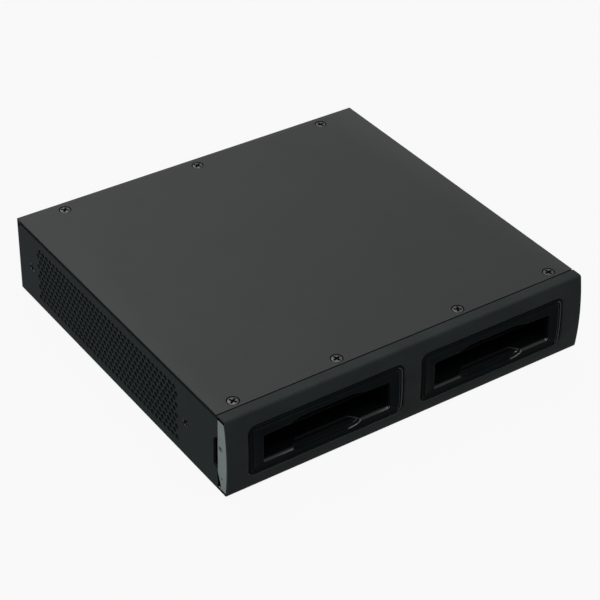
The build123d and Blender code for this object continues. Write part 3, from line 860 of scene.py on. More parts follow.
@dataclass(frozen=True)
class Plastic(Finish):
    """Moulded plastic with the fine grain of its tool."""

    roughness: float = 0.4
    gloss: float = 0.5
    grain: float = 0.4
    depth: float = 0.01
    coat: float = 0.0

    def sockets(self, graph: Graph) -> dict:
        """Builds the plastic's pattern."""
        flow = graph.noise(24.0, 2.0, (1.0, 1.0, 2.4))
        pits = graph.cells(self.grain, "SMOOTH_F1")
        fine = graph.noise(self.grain * 0.6, 2.0)
        tone = graph.mix(flow.rise(0.3, 0.72), shade(self.colour, 0.92), shade(self.colour, 1.1))
        tone = graph.mix(pits.rise(0.35, 0.8) * 0.35, tone, shade(self.colour, 1.35))
        rubbed = graph.noise(9.0, 3.0).rise(0.55, 0.75)
        roughness = self.roughness + (fine - 0.5) * 0.1 - rubbed * 0.04
        skin = graph.bump(pits, self.depth)
        return {
            "Base Color": tone,
            "Roughness": roughness,
            "Specular IOR Level": self.gloss,
            "Coat Weight": self.coat,
            "Coat Roughness": 0.08,
            "Normal": graph.bump(fine, self.depth * 0.6, skin),
        }


@dataclass(frozen=True)
class Gloss(Finish):
    """Polished black plastic with hairline rub marks and a little dust."""

    roughness: float = 0.14
    gloss: float = 0.5

    def sockets(self, graph: Graph) -> dict:
        """Builds the polished plastic's pattern."""
        level = graph.noise(0.5, 2.0, (0.06, 1.0, 1.6)).rise(0.58, 0.72)
        slant = graph.noise(0.45, 2.0, (1.4, 1.0, 0.07)).rise(0.6, 0.74)
        marks = level + slant
        dust = graph.noise(0.9, 0.0).rise(0.76, 0.84)
        wave = graph.noise(14.0, 1.0)
        tone = graph.mix(dust * 0.3, self.colour, (0.02, 0.02, 0.02))
        tone = graph.mix(wave.rise(0.4, 0.7) * 0.4, tone, shade(self.colour, 1.5))
        return {
            "Base Color": tone,
            "Roughness": self.roughness + marks * 0.05 + dust * 0.3 + wave * 0.03,
            "Specular IOR Level": self.gloss,
            "Normal": graph.bump(wave, 0.02, graph.bump(marks, 0.0012)),
        }


@dataclass(frozen=True)
class Metal(Finish):
    """Bare or plated metal, brushed along one axis or crystalled by its plating."""

    roughness: float = 0.32
    brush: Sequence[float] = (1.0, 0.05, 1.0)
    spangle: float = 0.0
    tarnish: Colour = (0.2, 0.19, 0.17)

    def sockets(self, graph: Graph) -> dict:
        """Builds the metal's pattern."""
        lines = graph.noise(0.35, 3.0, self.brush)
        stains = graph.noise(7.0, 4.0).rise(0.52, 0.78)
        tone = graph.mix(stains * 0.35, self.colour, self.tarnish)
        tone = graph.mix(lines.rise(0.3, 0.8) * 0.3, tone, shade(self.colour, 0.72))
        roughness = self.roughness + (lines - 0.5) * 0.16 + stains * 0.12
        if self.spangle:
            crystals = graph.add("SeparateColor", {}, {0: graph.cells(self.spangle, "F1", "Color")})
            tone = graph.mix(crystals * 0.4, tone, shade(self.colour, 0.7))
            roughness = roughness + (crystals - 0.5) * 0.14
        return {
            "Base Color": tone,
            "Metallic": 1.0,
            "Roughness": roughness,
            "Normal": graph.bump(lines, 0.006),
        }


@dataclass(frozen=True)
class Laminate(Finish):
    """A printed board: dark mask over faint copper tracks, with plated holes."""

    track: Colour
    pad: Colour = (0.5, 0.36, 0.12)

    def sockets(self, graph: Graph) -> dict:
        """Builds the board's pattern."""
        web = graph.add(
            "TexVoronoi",
            {"feature": "F1", "distance": "CHEBYCHEV"},
            {"Vector": graph.place(), "Scale": 0.22, "Randomness": 0.75},
            "Distance",
        )
        tracks = graph.math("PINGPONG", web * 7.0, 0.5).rise(0.3, 0.42)
        spots = graph.cells(3.4)
        pads = 1 - spots.rise(0.1, 0.13)
        holes = 1 - spots.rise(0.05, 0.07)
        weave = graph.noise(0.8, 2.0)
        tone = graph.mix(tracks, self.colour, self.track)
        tone = graph.mix(weave * 0.25, tone, shade(self.colour, 1.6))
        tone = graph.mix(pads, tone, self.pad)
        tone = graph.mix(holes, tone, (0.01, 0.01, 0.01))
        return {
            "Base Color": tone,
            "Metallic": pads * 0.8,
            "Roughness": 0.42 - tracks * 0.06 + weave * 0.08,
            "Normal": graph.bump(tracks + pads, 0.03),
        }


@dataclass(frozen=True)
class Rubber(Finish):
    """Matt rubber with a dusty bloom."""

    def sockets(self, graph: Graph) -> dict:
        """Builds the rubber's pattern."""
        bloom = graph.noise(5.0, 4.0).rise(0.42, 0.75)
        grain = graph.noise(0.3, 2.0)
        return {
            "Base Color": graph.mix(bloom * 0.5, self.colour, shade(self.colour, 2.4)),
            "Roughness": 0.78 + (grain - 0.5) * 0.2,
            "Specular IOR Level": 0.3,
            "Normal": graph.bump(grain, 0.02),
        }


FINISHES = {
    finish.name: finish
    for finish in (
        Paint("housing_paint", (0.0225, 0.0295, 0.031), 0.5, 0.012),
        Paint("cover_paint", (0.0162, 0.0178, 0.0172), 0.44, 0.13),
        Plastic("bezel_plastic", (0.0242, 0.0292, 0.0288), 0.36, 0.022, 0.35, 0.006),
        Plastic("end_cap_grey", (0.232, 0.274, 0.27), 0.5, 0.1),
        Gloss("frame_gloss", (0.0046, 0.007, 0.0074), 0.14, 0.012),
        # Lighter, glossier copy of the frame's finish: painted highlight on the ledge strips, the
        # right-hand border and the cup's right wall
        Gloss("frame_painted_sheen", (0.008, 0.0092, 0.0095), 0.14, 0.22),
        # Much glossier copy of the frame's finish: painted glint at the right-hand ends of the
        # ledges and scoops
        Gloss("frame_glint", (0.009, 0.0105, 0.011), 0.12, 0.9),
        # Black plastic, darker than the frame: partly its own colour, partly painted shade in the
        # tunnel and the scoop's bowl
        Plastic("frame_inside_painted_shade", (0.0022, 0.0026, 0.003), 0.5, 0.03),
        Plastic("cage_plastic", (0.006, 0.006, 0.0065), 0.6, 0.2),
        Plastic("connector_plastic", (0.008, 0.008, 0.009), 0.42, 0.4),
        Laminate("board_laminate", (0.004, 0.007, 0.006), (0.007, 0.012, 0.01)),
        Metal("zinc_steel", (0.55, 0.56, 0.57), 0.34, (1.0, 0.3, 1.0), 3.2),
        Plastic("chip_black", (0.012, 0.012, 0.013), 0.55, 0.3, 0.25),
        Metal("sink_aluminium", (0.06, 0.06, 0.065), 0.4, (1.0, 0.06, 1.0)),
        Metal("can_aluminium", (0.6, 0.61, 0.62), 0.28, (1.0, 1.0, 0.08)),
        Metal("cell_steel", (0.62, 0.61, 0.58), 0.22, (0.4, 1.0, 1.0)),
        Metal("shell_steel", (0.58, 0.58, 0.57), 0.27, (1.0, 0.08, 1.0)),
        Plastic("rocker_plastic", (0.009, 0.009, 0.01), 0.3, 0.5, 0.3, 0.004),
        Plastic("plunger_plastic", (0.03, 0.03, 0.032), 0.34, 0.5),
        Plastic("fan_plastic", (0.011, 0.011, 0.012), 0.38, 0.45),
        Metal(
            "screw_black", (0.06, 0.06, 0.06), 0.3, (1.0, 1.0, 1.0), tarnish=(0.05, 0.05, 0.05)
        ),
        # Darker copy of the black screw finish for the side screws: painted shade
        Plastic("side_screw_painted_shade", (0.006, 0.006, 0.0065), 0.32, 0.06),
        # Near-black finish: painted shade laid on the faces of seams, gaps, pockets, hole walls and
        # screw recesses
        Plastic("painted_shade_black", (0.002, 0.002, 0.0022), 0.6, 0.05),
        Rubber("foot_rubber", (0.02, 0.02, 0.021)),
        Metal("contact_gold", (0.83, 0.6, 0.24), 0.2, (1.0, 0.1, 1.0)),
        Plastic("lens_amber", (0.42, 0.2, 0.03), 0.22, 0.5, 0.6, 0.004, 0.5),
        Plastic("lens_green", (0.08, 0.28, 0.06), 0.22, 0.5, 0.6, 0.004, 0.5),
    )
}


class Finishes:
    """Every finish, built once when it is first asked for."""

    made: dict[str, bpy.types.Material] = {}

    @classmethod
    def get(cls, name: str) -> bpy.types.Material:
        """Finds a finish's material.

        Args:
            name: The finish.

        Returns:
            The material.
        """
        if name not in cls.made:
            cls.made[name] = FINISHES[name].material()
        return cls.made[name]


def dress(piece: bpy.types.Object, *finishes: str) -> None:
    """Gives a piece its finishes.

    Args:
        piece: The object.
        finishes: The finishes' names, by the number that its faces carry.
    """
    while len(piece.data.materials) < len(finishes):
        piece.data.materials.append(None)
    for index, slot in enumerate(piece.material_slots):
        slot.material = Finishes.get(finishes[min(index, len(finishes) - 1)])


def mount(
    piece: bpy.types.Object,
    finish: str,
    *others: str,
    stands_for: str = "",
    slot: str = "",
    body: str = "enclosure",
) -> None:
    """Hangs a new piece on the frame.

    Args:
        piece: The object.
        finish: Its finish.
        others: The finishes of the faces that carry a number above 0.
        stands_for: The frame's node that it stands for, if there is one.
        slot: Not used.
        body: The body that it moves with.
    """
    dress(piece, finish, *others)
    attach(piece, body)
    slot or finish
    if stands_for:
        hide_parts(stands_for)
    log.info("%s: %d faces, on %s, %s", piece.name, len(piece.data.polygons), body, finish)


# The dock's own places


@dataclass(frozen=True)
class Layout:
    """Where the frame's main faces are, in millimetres."""

    half_width: float
    front: float
    rear: float
    floor: float
    top: float
    bezel_face: float
    panel_out: float
    cover_t: float = 1.5
    rear_t: float = 1.2
    skin_t: float = 0.4
    shadow_gap: float = 1.9
    side_t: float = 1.5
    bay_x: float = 50.4
    window_half: Point2 = (45.2, 14.4)
    window_corner: float = 4.4
    window_up: float = 21.35
    ledge_up: float = 13.1
    frame_inset: float = 0.4
    side_screw_up: float = 20.7
    side_screws: Point2 = (28.4, 181.2)
    lid_front: float = 5.3
    lid_front_x: Sequence[float] = (-95.5, -36.7, 36.7, 95.5)
    lid_rear: float = 188.5
    lid_rear_x: Sequence[float] = (-82.5, 0.0, 82.5)

    @classmethod
    def read(cls) -> "Layout":
        """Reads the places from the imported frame."""
        nodes = ("top_cover", "base_pan", "front_bezel", "rear_panel")
        cover, pan, bezel, panel = ([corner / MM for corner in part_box(node)] for node in nodes)
        return cls(
            half_width=cover[1].x,
            front=cover[0].y,
            rear=cover[1].y,
            floor=pan[0].z,
            top=cover[1].z,
            bezel_face=bezel[0].y,
            panel_out=panel[1].y,
        )

    @property
    def panel_in(self) -> float:
        """The rear panel's inner face."""
        return self.panel_out - self.rear_t

    @property
    def lid(self) -> float:
        """The underside of the cover."""
        return self.top - self.cover_t

    @property
    def window_z(self) -> float:
        """The middle height of the bay windows."""
        return self.floor + self.window_up

    @property
    def ledge(self) -> float:
        """The height of the bays' lower edge."""
        return self.floor + self.ledge_up

    @property
    def skin(self) -> float:
        """The underside of the cover's thin side edges."""
        return self.top - self.skin_t

    @property
    def rise(self) -> float:
        """The upper edge of the side plates and end caps, below the cover's shadow gap."""
        return self.skin - self.shadow_gap

    def cover_screws(self) -> list[Point2]:
        """Places of the cover's seven screws."""
        front = [(x, self.front + self.lid_front) for x in self.lid_front_x]
        return front + [(x, self.front + self.lid_rear) for x in self.lid_rear_x]

    def side_screw_places(self) -> list[Point2]:
        """Places of a side panel's two screws, in Y and Z."""
        return [(self.front + y, self.floor + self.side_screw_up) for y in self.side_screws]


def countersink(form: Form, middle: Vector, facing: Vector, depth: float, radius: float) -> None:
    """Narrows the far end of a hole, so that it becomes a countersink.

    Args:
        form: The plate.
        middle: The hole's centre on the face that is countersunk.
        facing: The direction out of that face.
        depth: The plate's thickness.
        radius: The hole's radius at the far end.
    """
    far = middle - facing * depth
    for corner in form.mesh.verts:
        away = corner.co - far
        if abs(away.dot(facing)) < TOUCH < away.length < HOLE_REACH:
            corner.co = far + away.normalized() * radius


@dataclass
class TopCover:
    """The flat lid, thin along both sides, with seven countersunk holes."""

    layout: Layout
    seam: float = 0.8
    edge: float = 0.22
    hole: float = 3.3
    seat: float = 2.95
    undercut: float = 3.2
    play: float = 0.1
    lip: float = 2.0
    lip_rear: float = 0.2

    def build(self) -> None:
        """Makes and dresses the lid."""
        lay = self.layout
        half, front, rear = lay.half_width, lay.front + self.seam, lay.rear
        inner = half - lay.side_t - self.play
        outline = [(-half, front), (half, front), (half, rear), (-half, rear)]
        holes = [circle(place, self.hole, 36) for place in lay.cover_screws()]
        form = Form().plate(Plane.XY, outline, holes, (lay.lid, lay.top))
        for x, y in lay.cover_screws():
            countersink(form, Vector((x, y, lay.top)), Vector((0, 0, 1)), lay.cover_t, self.seat)
        shy = half - self.undercut
        for x in ((-half - PAST, -shy), (shy, half + PAST)):
            gap = Form().block(x, (front - PAST, rear + PAST), (lay.lid - PAST, lay.skin))
            form.change(gap, Change.CUT)
        form.dissolve()
        soft = [line for line in form.mesh.edges if self.is_outer(line)]
        bmesh.ops.bevel(
            form.mesh,
            geom=soft,
            offset=self.edge,
            segments=3,
            profile=0.5,
            affect="EDGES",
            material=-1,
        )
        # Faces under the thin side edges, on the gap's flanks and on the countersinks' walls get the
        # near-black finish: painted shade
        for face in form.mesh.faces:
            spot = face.calc_center_median()
            under = face.normal.z < -FLAT and abs(spot.x) > shy
            flank = abs(face.normal.x) > FLAT and abs(abs(spot.x) - shy) < TOUCH
            wall = any(math.dist(spot.xy, place) < self.hole for place in lay.cover_screws())
            if under or flank or wall and abs(face.normal.z) < FLAT:
                face.material_index = 1
        form.block(
            (-inner, inner), (lay.panel_out, rear - self.lip_rear), (lay.lid - self.lip, lay.lid)
        )
        piece = form.finish("cover_plate", 0.1)
        mount(piece, "cover_paint", "painted_shade_black", stands_for="top_cover")

    def is_outer(self, line: bmesh.types.BMEdge) -> bool:
        """Tells whether an edge is one of the top's side or rear edges."""
        lay = self.layout
        ends = [corner.co for corner in line.verts]
        on_side = all(abs(end.x) > lay.half_width - TOUCH for end in ends)
        on_side = on_side and ends[0].x * ends[1].x > 0
        on_rear = all(end.y > lay.rear - TOUCH for end in ends)
        return all(end.z > lay.top - TOUCH for end in ends) and (on_side or on_rear)


@dataclass
class SidePanel:
    """A side plate with its notch and tongue; the left one is perforated."""

    layout: Layout
    side: int
    vented: bool
    pitch: float = 3.8
    rows: int = 10
    columns: int = 37
    hole: float = 1.45
    hole_sides: int = 12
    vent_start: Point2 = (36.3, 6.1)
    screw_hole: float = 3.12
    screw_seat: float = 1.6
    notch: Sequence[Point2] = ((0.0, 31.3), (3.4, 28.6), (3.4, 13.0), (0.0, 11.3))
    tongue_up: float = 4.1
    tongue_half: Point2 = (0.4, 2.3)
    tongue_corner: float = 0.35
    tongue_root: float = 0.06
    tongue_ends: Span = (1.6, 6.6)
    seam_slant: float = 0.3
    seam_depth: float = 0.2
    stop_up: float = 0.05
    stop_depth: float = 1.5

    def outline(self) -> list[Point2]:
        """Draws the plate in Y and Z."""
        lay = self.layout
        front, floor, rise = lay.front, lay.floor, lay.rise
        tongue = [
            (front + across, floor + self.tongue_up + up)
            for across, up in soft_box((0.0, 0.0), self.tongue_half, self.tongue_corner, 5)
            if across < -self.tongue_root
        ]
        return [
            (front, floor),
            (lay.rear, floor),
            (lay.rear, rise),
            (front, rise),
            *((front + across, floor + up) for across, up in self.notch),
            (front, floor + self.tongue_ends[1]),
            *tongue,
            (front, floor + self.tongue_ends[0]),
        ]

    def vents(self) -> list[Point2]:
        """Places of the vent holes, in staggered rows."""
        step = self.pitch * math.sqrt(3) / 2
        places = []
        for row in range(self.rows):
            odd = row % 2
            for column in range(self.columns - odd):
                y = self.layout.front + self.vent_start[0] + (column + odd / 2) * self.pitch
                places.append((y, self.layout.floor + self.vent_start[1] + row * step))
        return places

    def fillers(self) -> list[tuple[Span, Span, Span]]:
        """Lists the blocks in the gap below the cover: its floor, its rear end and its front end.

        Returns:
            For each block how deep inside the outer face it lies, and its Y and its Z.
        """
        lay = self.layout
        return [
            ((8.0, 1.0), (lay.front + 1.5, lay.panel_in - 0.1), (lay.rise - 1.2, lay.rise - 0.02)),
            ((3.1, 0.0), (lay.rear - 3.0, lay.rear), (lay.rise - 1.0, lay.skin - 0.02)),
            # This front end block is painted near-black by in_seam: painted shade that closes the
            # gap's end
            ((3.1, 0.3), (lay.front + 0.02, lay.front + 1.3), (lay.rise - 0.5, lay.skin - 0.05)),
        ]

    def in_seam(self, face: bmesh.types.BMFace) -> bool:
        """Tells whether a face gets the near-black painted shade: in the seam beside the end cap, or
        on the gap's front end.
        """
        lay = self.layout
        spot = face.calc_center_median()
        ahead = face.normal.y < -self.seam_slant and spot.y < lay.front + self.seam_depth
        return ahead or spot.z > lay.rise + self.stop_up and spot.y < lay.front + self.stop_depth

    def build(self) -> None:
        """Makes and dresses the panel."""
        lay = self.layout
        name = SIDES[self.side]
        outer = self.side * lay.half_width
        inner = self.side * (lay.half_width - lay.side_t)
        holes = [circle(place, self.screw_hole, 36) for place in lay.side_screw_places()]
        if self.vented:
            holes += [circle(place, self.hole, self.hole_sides) for place in self.vents()]
        form = Form().plate(Plane.YZ, self.outline(), holes, (inner, outer))
        facing = Vector((self.side, 0, 0))
        for y, z in lay.side_screw_places():
            countersink(form, Vector((outer, y, z)), facing, lay.side_t, self.screw_seat)
        for depths, along_y, along_z in self.fillers():
            x = sorted(self.side * (lay.half_width - depth) for depth in depths)
            form.block(x, along_y, along_z)
        if not self.vented:
            form.dissolve()
        form.tidy()
        # Faces in the seam and on the gap's front end get the near-black finish: painted shade
        for face in form.mesh.faces:
            face.material_index = int(self.in_seam(face))
        piece = form.finish(f"{name}_side_plate", 0.12, 1 if self.vented else 2)
        mount(piece, "housing_paint", "painted_shade_black", stands_for=f"{name}_side_panel")


@dataclass
class Arch:
    """The bezel's side outline: flat bands above and below a bowed face, its crest low down."""

    layout: Layout
    upper_depth: float = 6.0
    lower_depth: float = 7.8
    crest: float = 17.9
    crest_in: float = 0.02
    corner: float = 1.4
    flats: int = 6

    def __post_init__(self) -> None:
        """Finds the circle that the bowed face follows."""
        lay = self.layout
        self.centre, self.radius = circle_through(
            (lay.front - self.lower_depth, lay.floor),
            (lay.bezel_face + self.crest_in, lay.floor + self.crest),
            (lay.front - self.upper_depth, lay.top),
        )

    def face(self, z: float) -> float:
        """Finds how far forward the bowed face is at a height."""
        return self.centre[0] - math.sqrt(self.radius**2 - (z - self.centre[1]) ** 2)

    def corner_points(self, up: int, inset: float) -> list[Point2]:
        """Draws a rounded corner, from the band to the bowed face.

        Args:
            up: 1 for the upper corner, -1 for the lower.
            inset: How far inside the outer surface it lies.

        Returns:
            Its points in Y and Z.
        """
        lay = self.layout
        z = (lay.top - self.corner) if up > 0 else (lay.floor + self.corner)
        away = math.sqrt((self.radius - self.corner) ** 2 - (z - self.centre[1]) ** 2)
        y = self.centre[0] - away
        start = math.pi / 2 * up
        end = math.atan2(z - self.centre[1], y - self.centre[0])
        turn = (end - start + math.pi) % FULL_TURN - math.pi
        radius = self.corner - inset
        turns = [start + turn * step / self.flats for step in range(self.flats + 1)]
        return [(y + radius * math.cos(t), z + radius * math.sin(t)) for t in turns]

    def outline(self, inset: float, levels: Sequence[float], back: float) -> list[Point2]:
        """Draws the whole outline from the upper band to the lower one.

        Args:
            inset: How far inside the outer surface it lies.
            levels: The heights at which the bowed face has points, from high to low.
            back: Where the bands end.

        Returns:
            Its points in Y and Z.
        """
        lay = self.layout
        (y, z), share = self.centre, (self.radius - inset) / self.radius
        bow = [(y + (self.face(up) - y) * share, z + (up - z) * share) for up in levels]
        upper = self.corner_points(1, inset)
        lower = list(reversed(self.corner_points(-1, inset)))
        return [(back, lay.top - inset), *upper, *bow, *lower, (back, lay.floor + inset)]


@dataclass
class FrontBezel:
    """The bowed moulding across the front, with a rolled lip round each window."""

    layout: Layout
    rim: float = 0.45
    pocket: float = 2.0
    zone: Point2 = (6.2, 40.6)
    strips: int = 22
    lip: float = 0.95
    lip_flats: int = 6
    hollow_half: float = 96.5
    hollow_depth: float = 3.9
    wall: float = 2.0
    collar: float = 1.8
    collar_span: Span = (-6.0, 2.0)
    pocket_edge: float = 0.3

    def __post_init__(self) -> None:
        """Prepares the side outline and the heights that it is divided at."""
        self.arch = Arch(self.layout)
        low, high = self.zone
        step = (high - low) / self.strips
        self.levels = [high - step * index for index in range(self.strips + 1)]
        self.core = tuple(half - self.layout.window_corner for half in self.layout.window_half)

    def lip_steps(self) -> list[tuple[float, float, bool]]:
        """Lists the lip's rings, from the face to the bezel's rear.

        Returns:
            For each ring how far outside the window it is, how deep behind the face, and whether
            the depth is a fixed place along Y instead.
        """
        turns = [math.pi / 2 * step / self.lip_flats for step in range(1, self.lip_flats + 1)]
        rolled = [(self.lip * (1 - math.sin(t)), self.lip * (1 - math.cos(t)), False) for t in turns]
        return [*rolled, (0.0, self.layout.front, True)]

    def ring_point(self, place: Vector, bay: float, grow: float) -> tuple[float, float]:
        """Moves a point of a window's outline in or out.

        Args:
            place: The point.
            bay: The window's middle along X.
            grow: How far outside the window it is to lie.

        Returns:
            Its new X and Z.
        """
        across = place.x - bay
        up = place.z - self.layout.window_z
        ends = zip(self.core, (across, up))
        near = Vector([max(-core, min(core, value)) for core, value in ends])
        out = (Vector((across, up)) - near).normalized() * (self.layout.window_corner + grow)
        return bay + near.x + out.x, self.layout.window_z + near.y + out.y

    def bowed_sheet(self) -> Form:
        """Makes the bowed sheet with its two openings."""
        lay = self.layout
        half = lay.half_width
        low, high = self.zone
        corner = lay.window_corner + self.lip
        window = (lay.window_half[0] + self.lip, lay.window_half[1] + self.lip)
        runs = [[(-half, low), (half, low), (half, high), (-half, high)]]
        for bay in (-lay.bay_x, lay.bay_x):
            runs.append(soft_box((bay, lay.window_z), window, corner, 10))
        form = Form().sheet(runs, self.levels[1:-1])
        for point in form.mesh.verts:
            point.co.y = self.arch.face(point.co.z)
        return form

    def extend(self, form: Form, run: Iterable[Point2], start: float) -> None:
        """Carries the sheet on along the outline from one of its straight edges.

        Args:
            form: The sheet.
            run: The outline's next points in Y and Z.
            start: The height of the straight edge.
        """
        lines = form.open_edges(lambda spot: abs(spot.z - start) < NEAR)
        for y, z in run:
            lines, corners = form.stretch(lines)
            for corner in corners:
                corner.co.yz = y, z

    def roll_lip(self, form: Form, bay: float) -> None:
        """Rolls the edge of one window inwards, ring by ring.

        Args:
            form: The sheet.
            bay: The window's middle along X.
        """
        low, high = self.zone
        reach = self.layout.window_half[0] + self.lip + TOUCH
        lines = form.open_edges(
            lambda spot: abs(spot.x - bay) < reach and low + TOUCH < spot.z < high - TOUCH
        )
        for grow, depth, fixed in self.lip_steps():
            lines, corners = form.stretch(lines)
            for corner in corners:
                x, z = self.ring_point(corner.co, bay, grow)
                corner.co = (x, depth if fixed else self.arch.face(z) + depth, z)

    def close_end(self, form: Form, side: int) -> None:
        """Makes the thin rim and the pocket at one end.

        Args:
            form: The sheet.
            side: 1 for the right end, -1 for the left.
        """
        end, back = side * self.layout.half_width, self.layout.front
        outer = self.arch.outline(0.0, self.levels, back)
        inner = self.arch.outline(self.rim, self.levels, back)
        lines, corners = form.stretch(form.open_edges(lambda spot: abs(spot.x - end) < NEAR))
        for corner in corners:
            near = min(range(len(outer)), key=lambda i: math.dist(outer[i], corner.co.yz))
            corner.co.yz = inner[near]
        lines, corners = form.stretch(lines)
        for corner in corners:
            corner.co.x = end - side * self.pocket
        ends = [corner for corner in corners if abs(corner.co.y - back) < NEAR]
        lines.append(form.mesh.edges.new(ends))
        bmesh.ops.edgeloop_fill(form.mesh, edges=lines)

    def hollow(self) -> Form:
        """Makes the space behind the face, which leaves a wall round each window."""
        lay = self.layout
        space = Form().block(
            (-self.hollow_half, self.hollow_half),
            (lay.front - self.hollow_depth, lay.front + PAST),
            (lay.floor + self.wall, lay.top - self.wall),
        )
        for bay in (-lay.bay_x, lay.bay_x):
            half = [length + self.collar for length in lay.window_half]
            collar = soft_box((bay, lay.window_z), half, lay.window_corner + self.collar, 6)
            span = [lay.front + end for end in self.collar_span]
            space.change(Form().plate(Plane.XZ, collar, [], span), Change.CUT)
        return space

    def build(self) -> None:
        """Makes and dresses the bezel."""
        lay = self.layout
        form = self.bowed_sheet()
        outer = self.arch.outline(0.0, self.levels, lay.front)
        bow = len(self.levels)
        start = (len(outer) - bow) // 2
        self.extend(form, reversed(outer[:start]), self.levels[0])
        self.extend(form, outer[start + bow :], self.levels[-1])
        for bay in (-lay.bay_x, lay.bay_x):
            self.roll_lip(form, bay)
        for side in SIDES:
            self.close_end(form, side)
        form.close().tidy().change(self.hollow(), Change.CUT)
        # Faces inside the end pockets get the near-black finish: painted shade round the end caps
        for face in form.mesh.faces:
            face.material_index = int(self.in_pocket(face.calc_center_median()))
        piece = form.finish("bezel_shell")
        mount(piece, "bezel_plastic", "painted_shade_black", stands_for="front_bezel")

    def in_pocket(self, spot: Vector) -> bool:
        """Tells whether a place on the bezel is inside one of the pockets at its ends."""
        lay = self.layout
        edge = self.pocket_edge
        deep = lay.half_width - self.pocket - TOUCH < abs(spot.x) < lay.half_width - TOUCH
        level = lay.floor + edge < spot.z < lay.top - edge
        return deep and level and spot.y > self.arch.face(spot.z) + edge


@dataclass
class EndCap:
    """The grey plate let into one end of the bezel."""

    layout: Layout
    side: int
    gap: float = 0.95
    seam: float = 0.25
    thick: float = 1.9
    first_level: float = 4.0
    level_step: float = 1.8
    level_count: int = 21
    foot: float = 1.5
    heel: Sequence[Point2] = ((0.7, 0.0), (0.7, 0.5), (2.9, 1.3), (2.7, 2.6))
    shoulder: float = 10.5
    hole_place: Point2 = (-2.6, 25.6)
    hole: float = 1.45
    hole_reach: float = 1.6
    dot_place: Point2 = (-3.7, 8.5)
    dot: float = 0.4

    def build(self) -> None:
        """Makes and dresses the cap."""
        lay = self.layout
        levels = [
            lay.top - self.first_level - self.level_step * index
            for index in range(self.level_count)
        ]
        back, foot = lay.front - self.seam, lay.floor + self.foot
        bow = Arch(lay).outline(self.gap, levels, back)[:-1]
        outline = [(y, max(foot, min(z, lay.rise))) for y, z in bow]
        outline += [(lay.front - across, foot + up) for across, up in self.heel]
        outline.append((back, lay.floor + self.shoulder))
        hole, dot = (
            (lay.front + across, lay.floor + up) for across, up in (self.hole_place, self.dot_place)
        )
        holes = [circle(hole, self.hole, 24), circle(dot, self.dot, 12)]
        outer = self.side * lay.half_width
        inner = outer - self.side * self.thick
        form = Form().plate(Plane.YZ, outline, holes, (inner, outer)).dissolve()
        # The cap's edge faces, apart from the big hole's walls, get the near-black finish: a painted
        # shade outline round the cap
        for face in form.mesh.faces:
            in_hole = math.dist(face.calc_center_median().yz, hole) < self.hole_reach
            flat = abs(face.normal.x) > FLAT
            face.material_index = 0 if flat or in_hole else 1
        name = SIDES[self.side]
        piece = form.finish(f"end_cap_{name}", 0.22, 3)
        mount(piece, "end_cap_grey", "painted_shade_black", stands_for=f"bezel_end_cap_{name}")


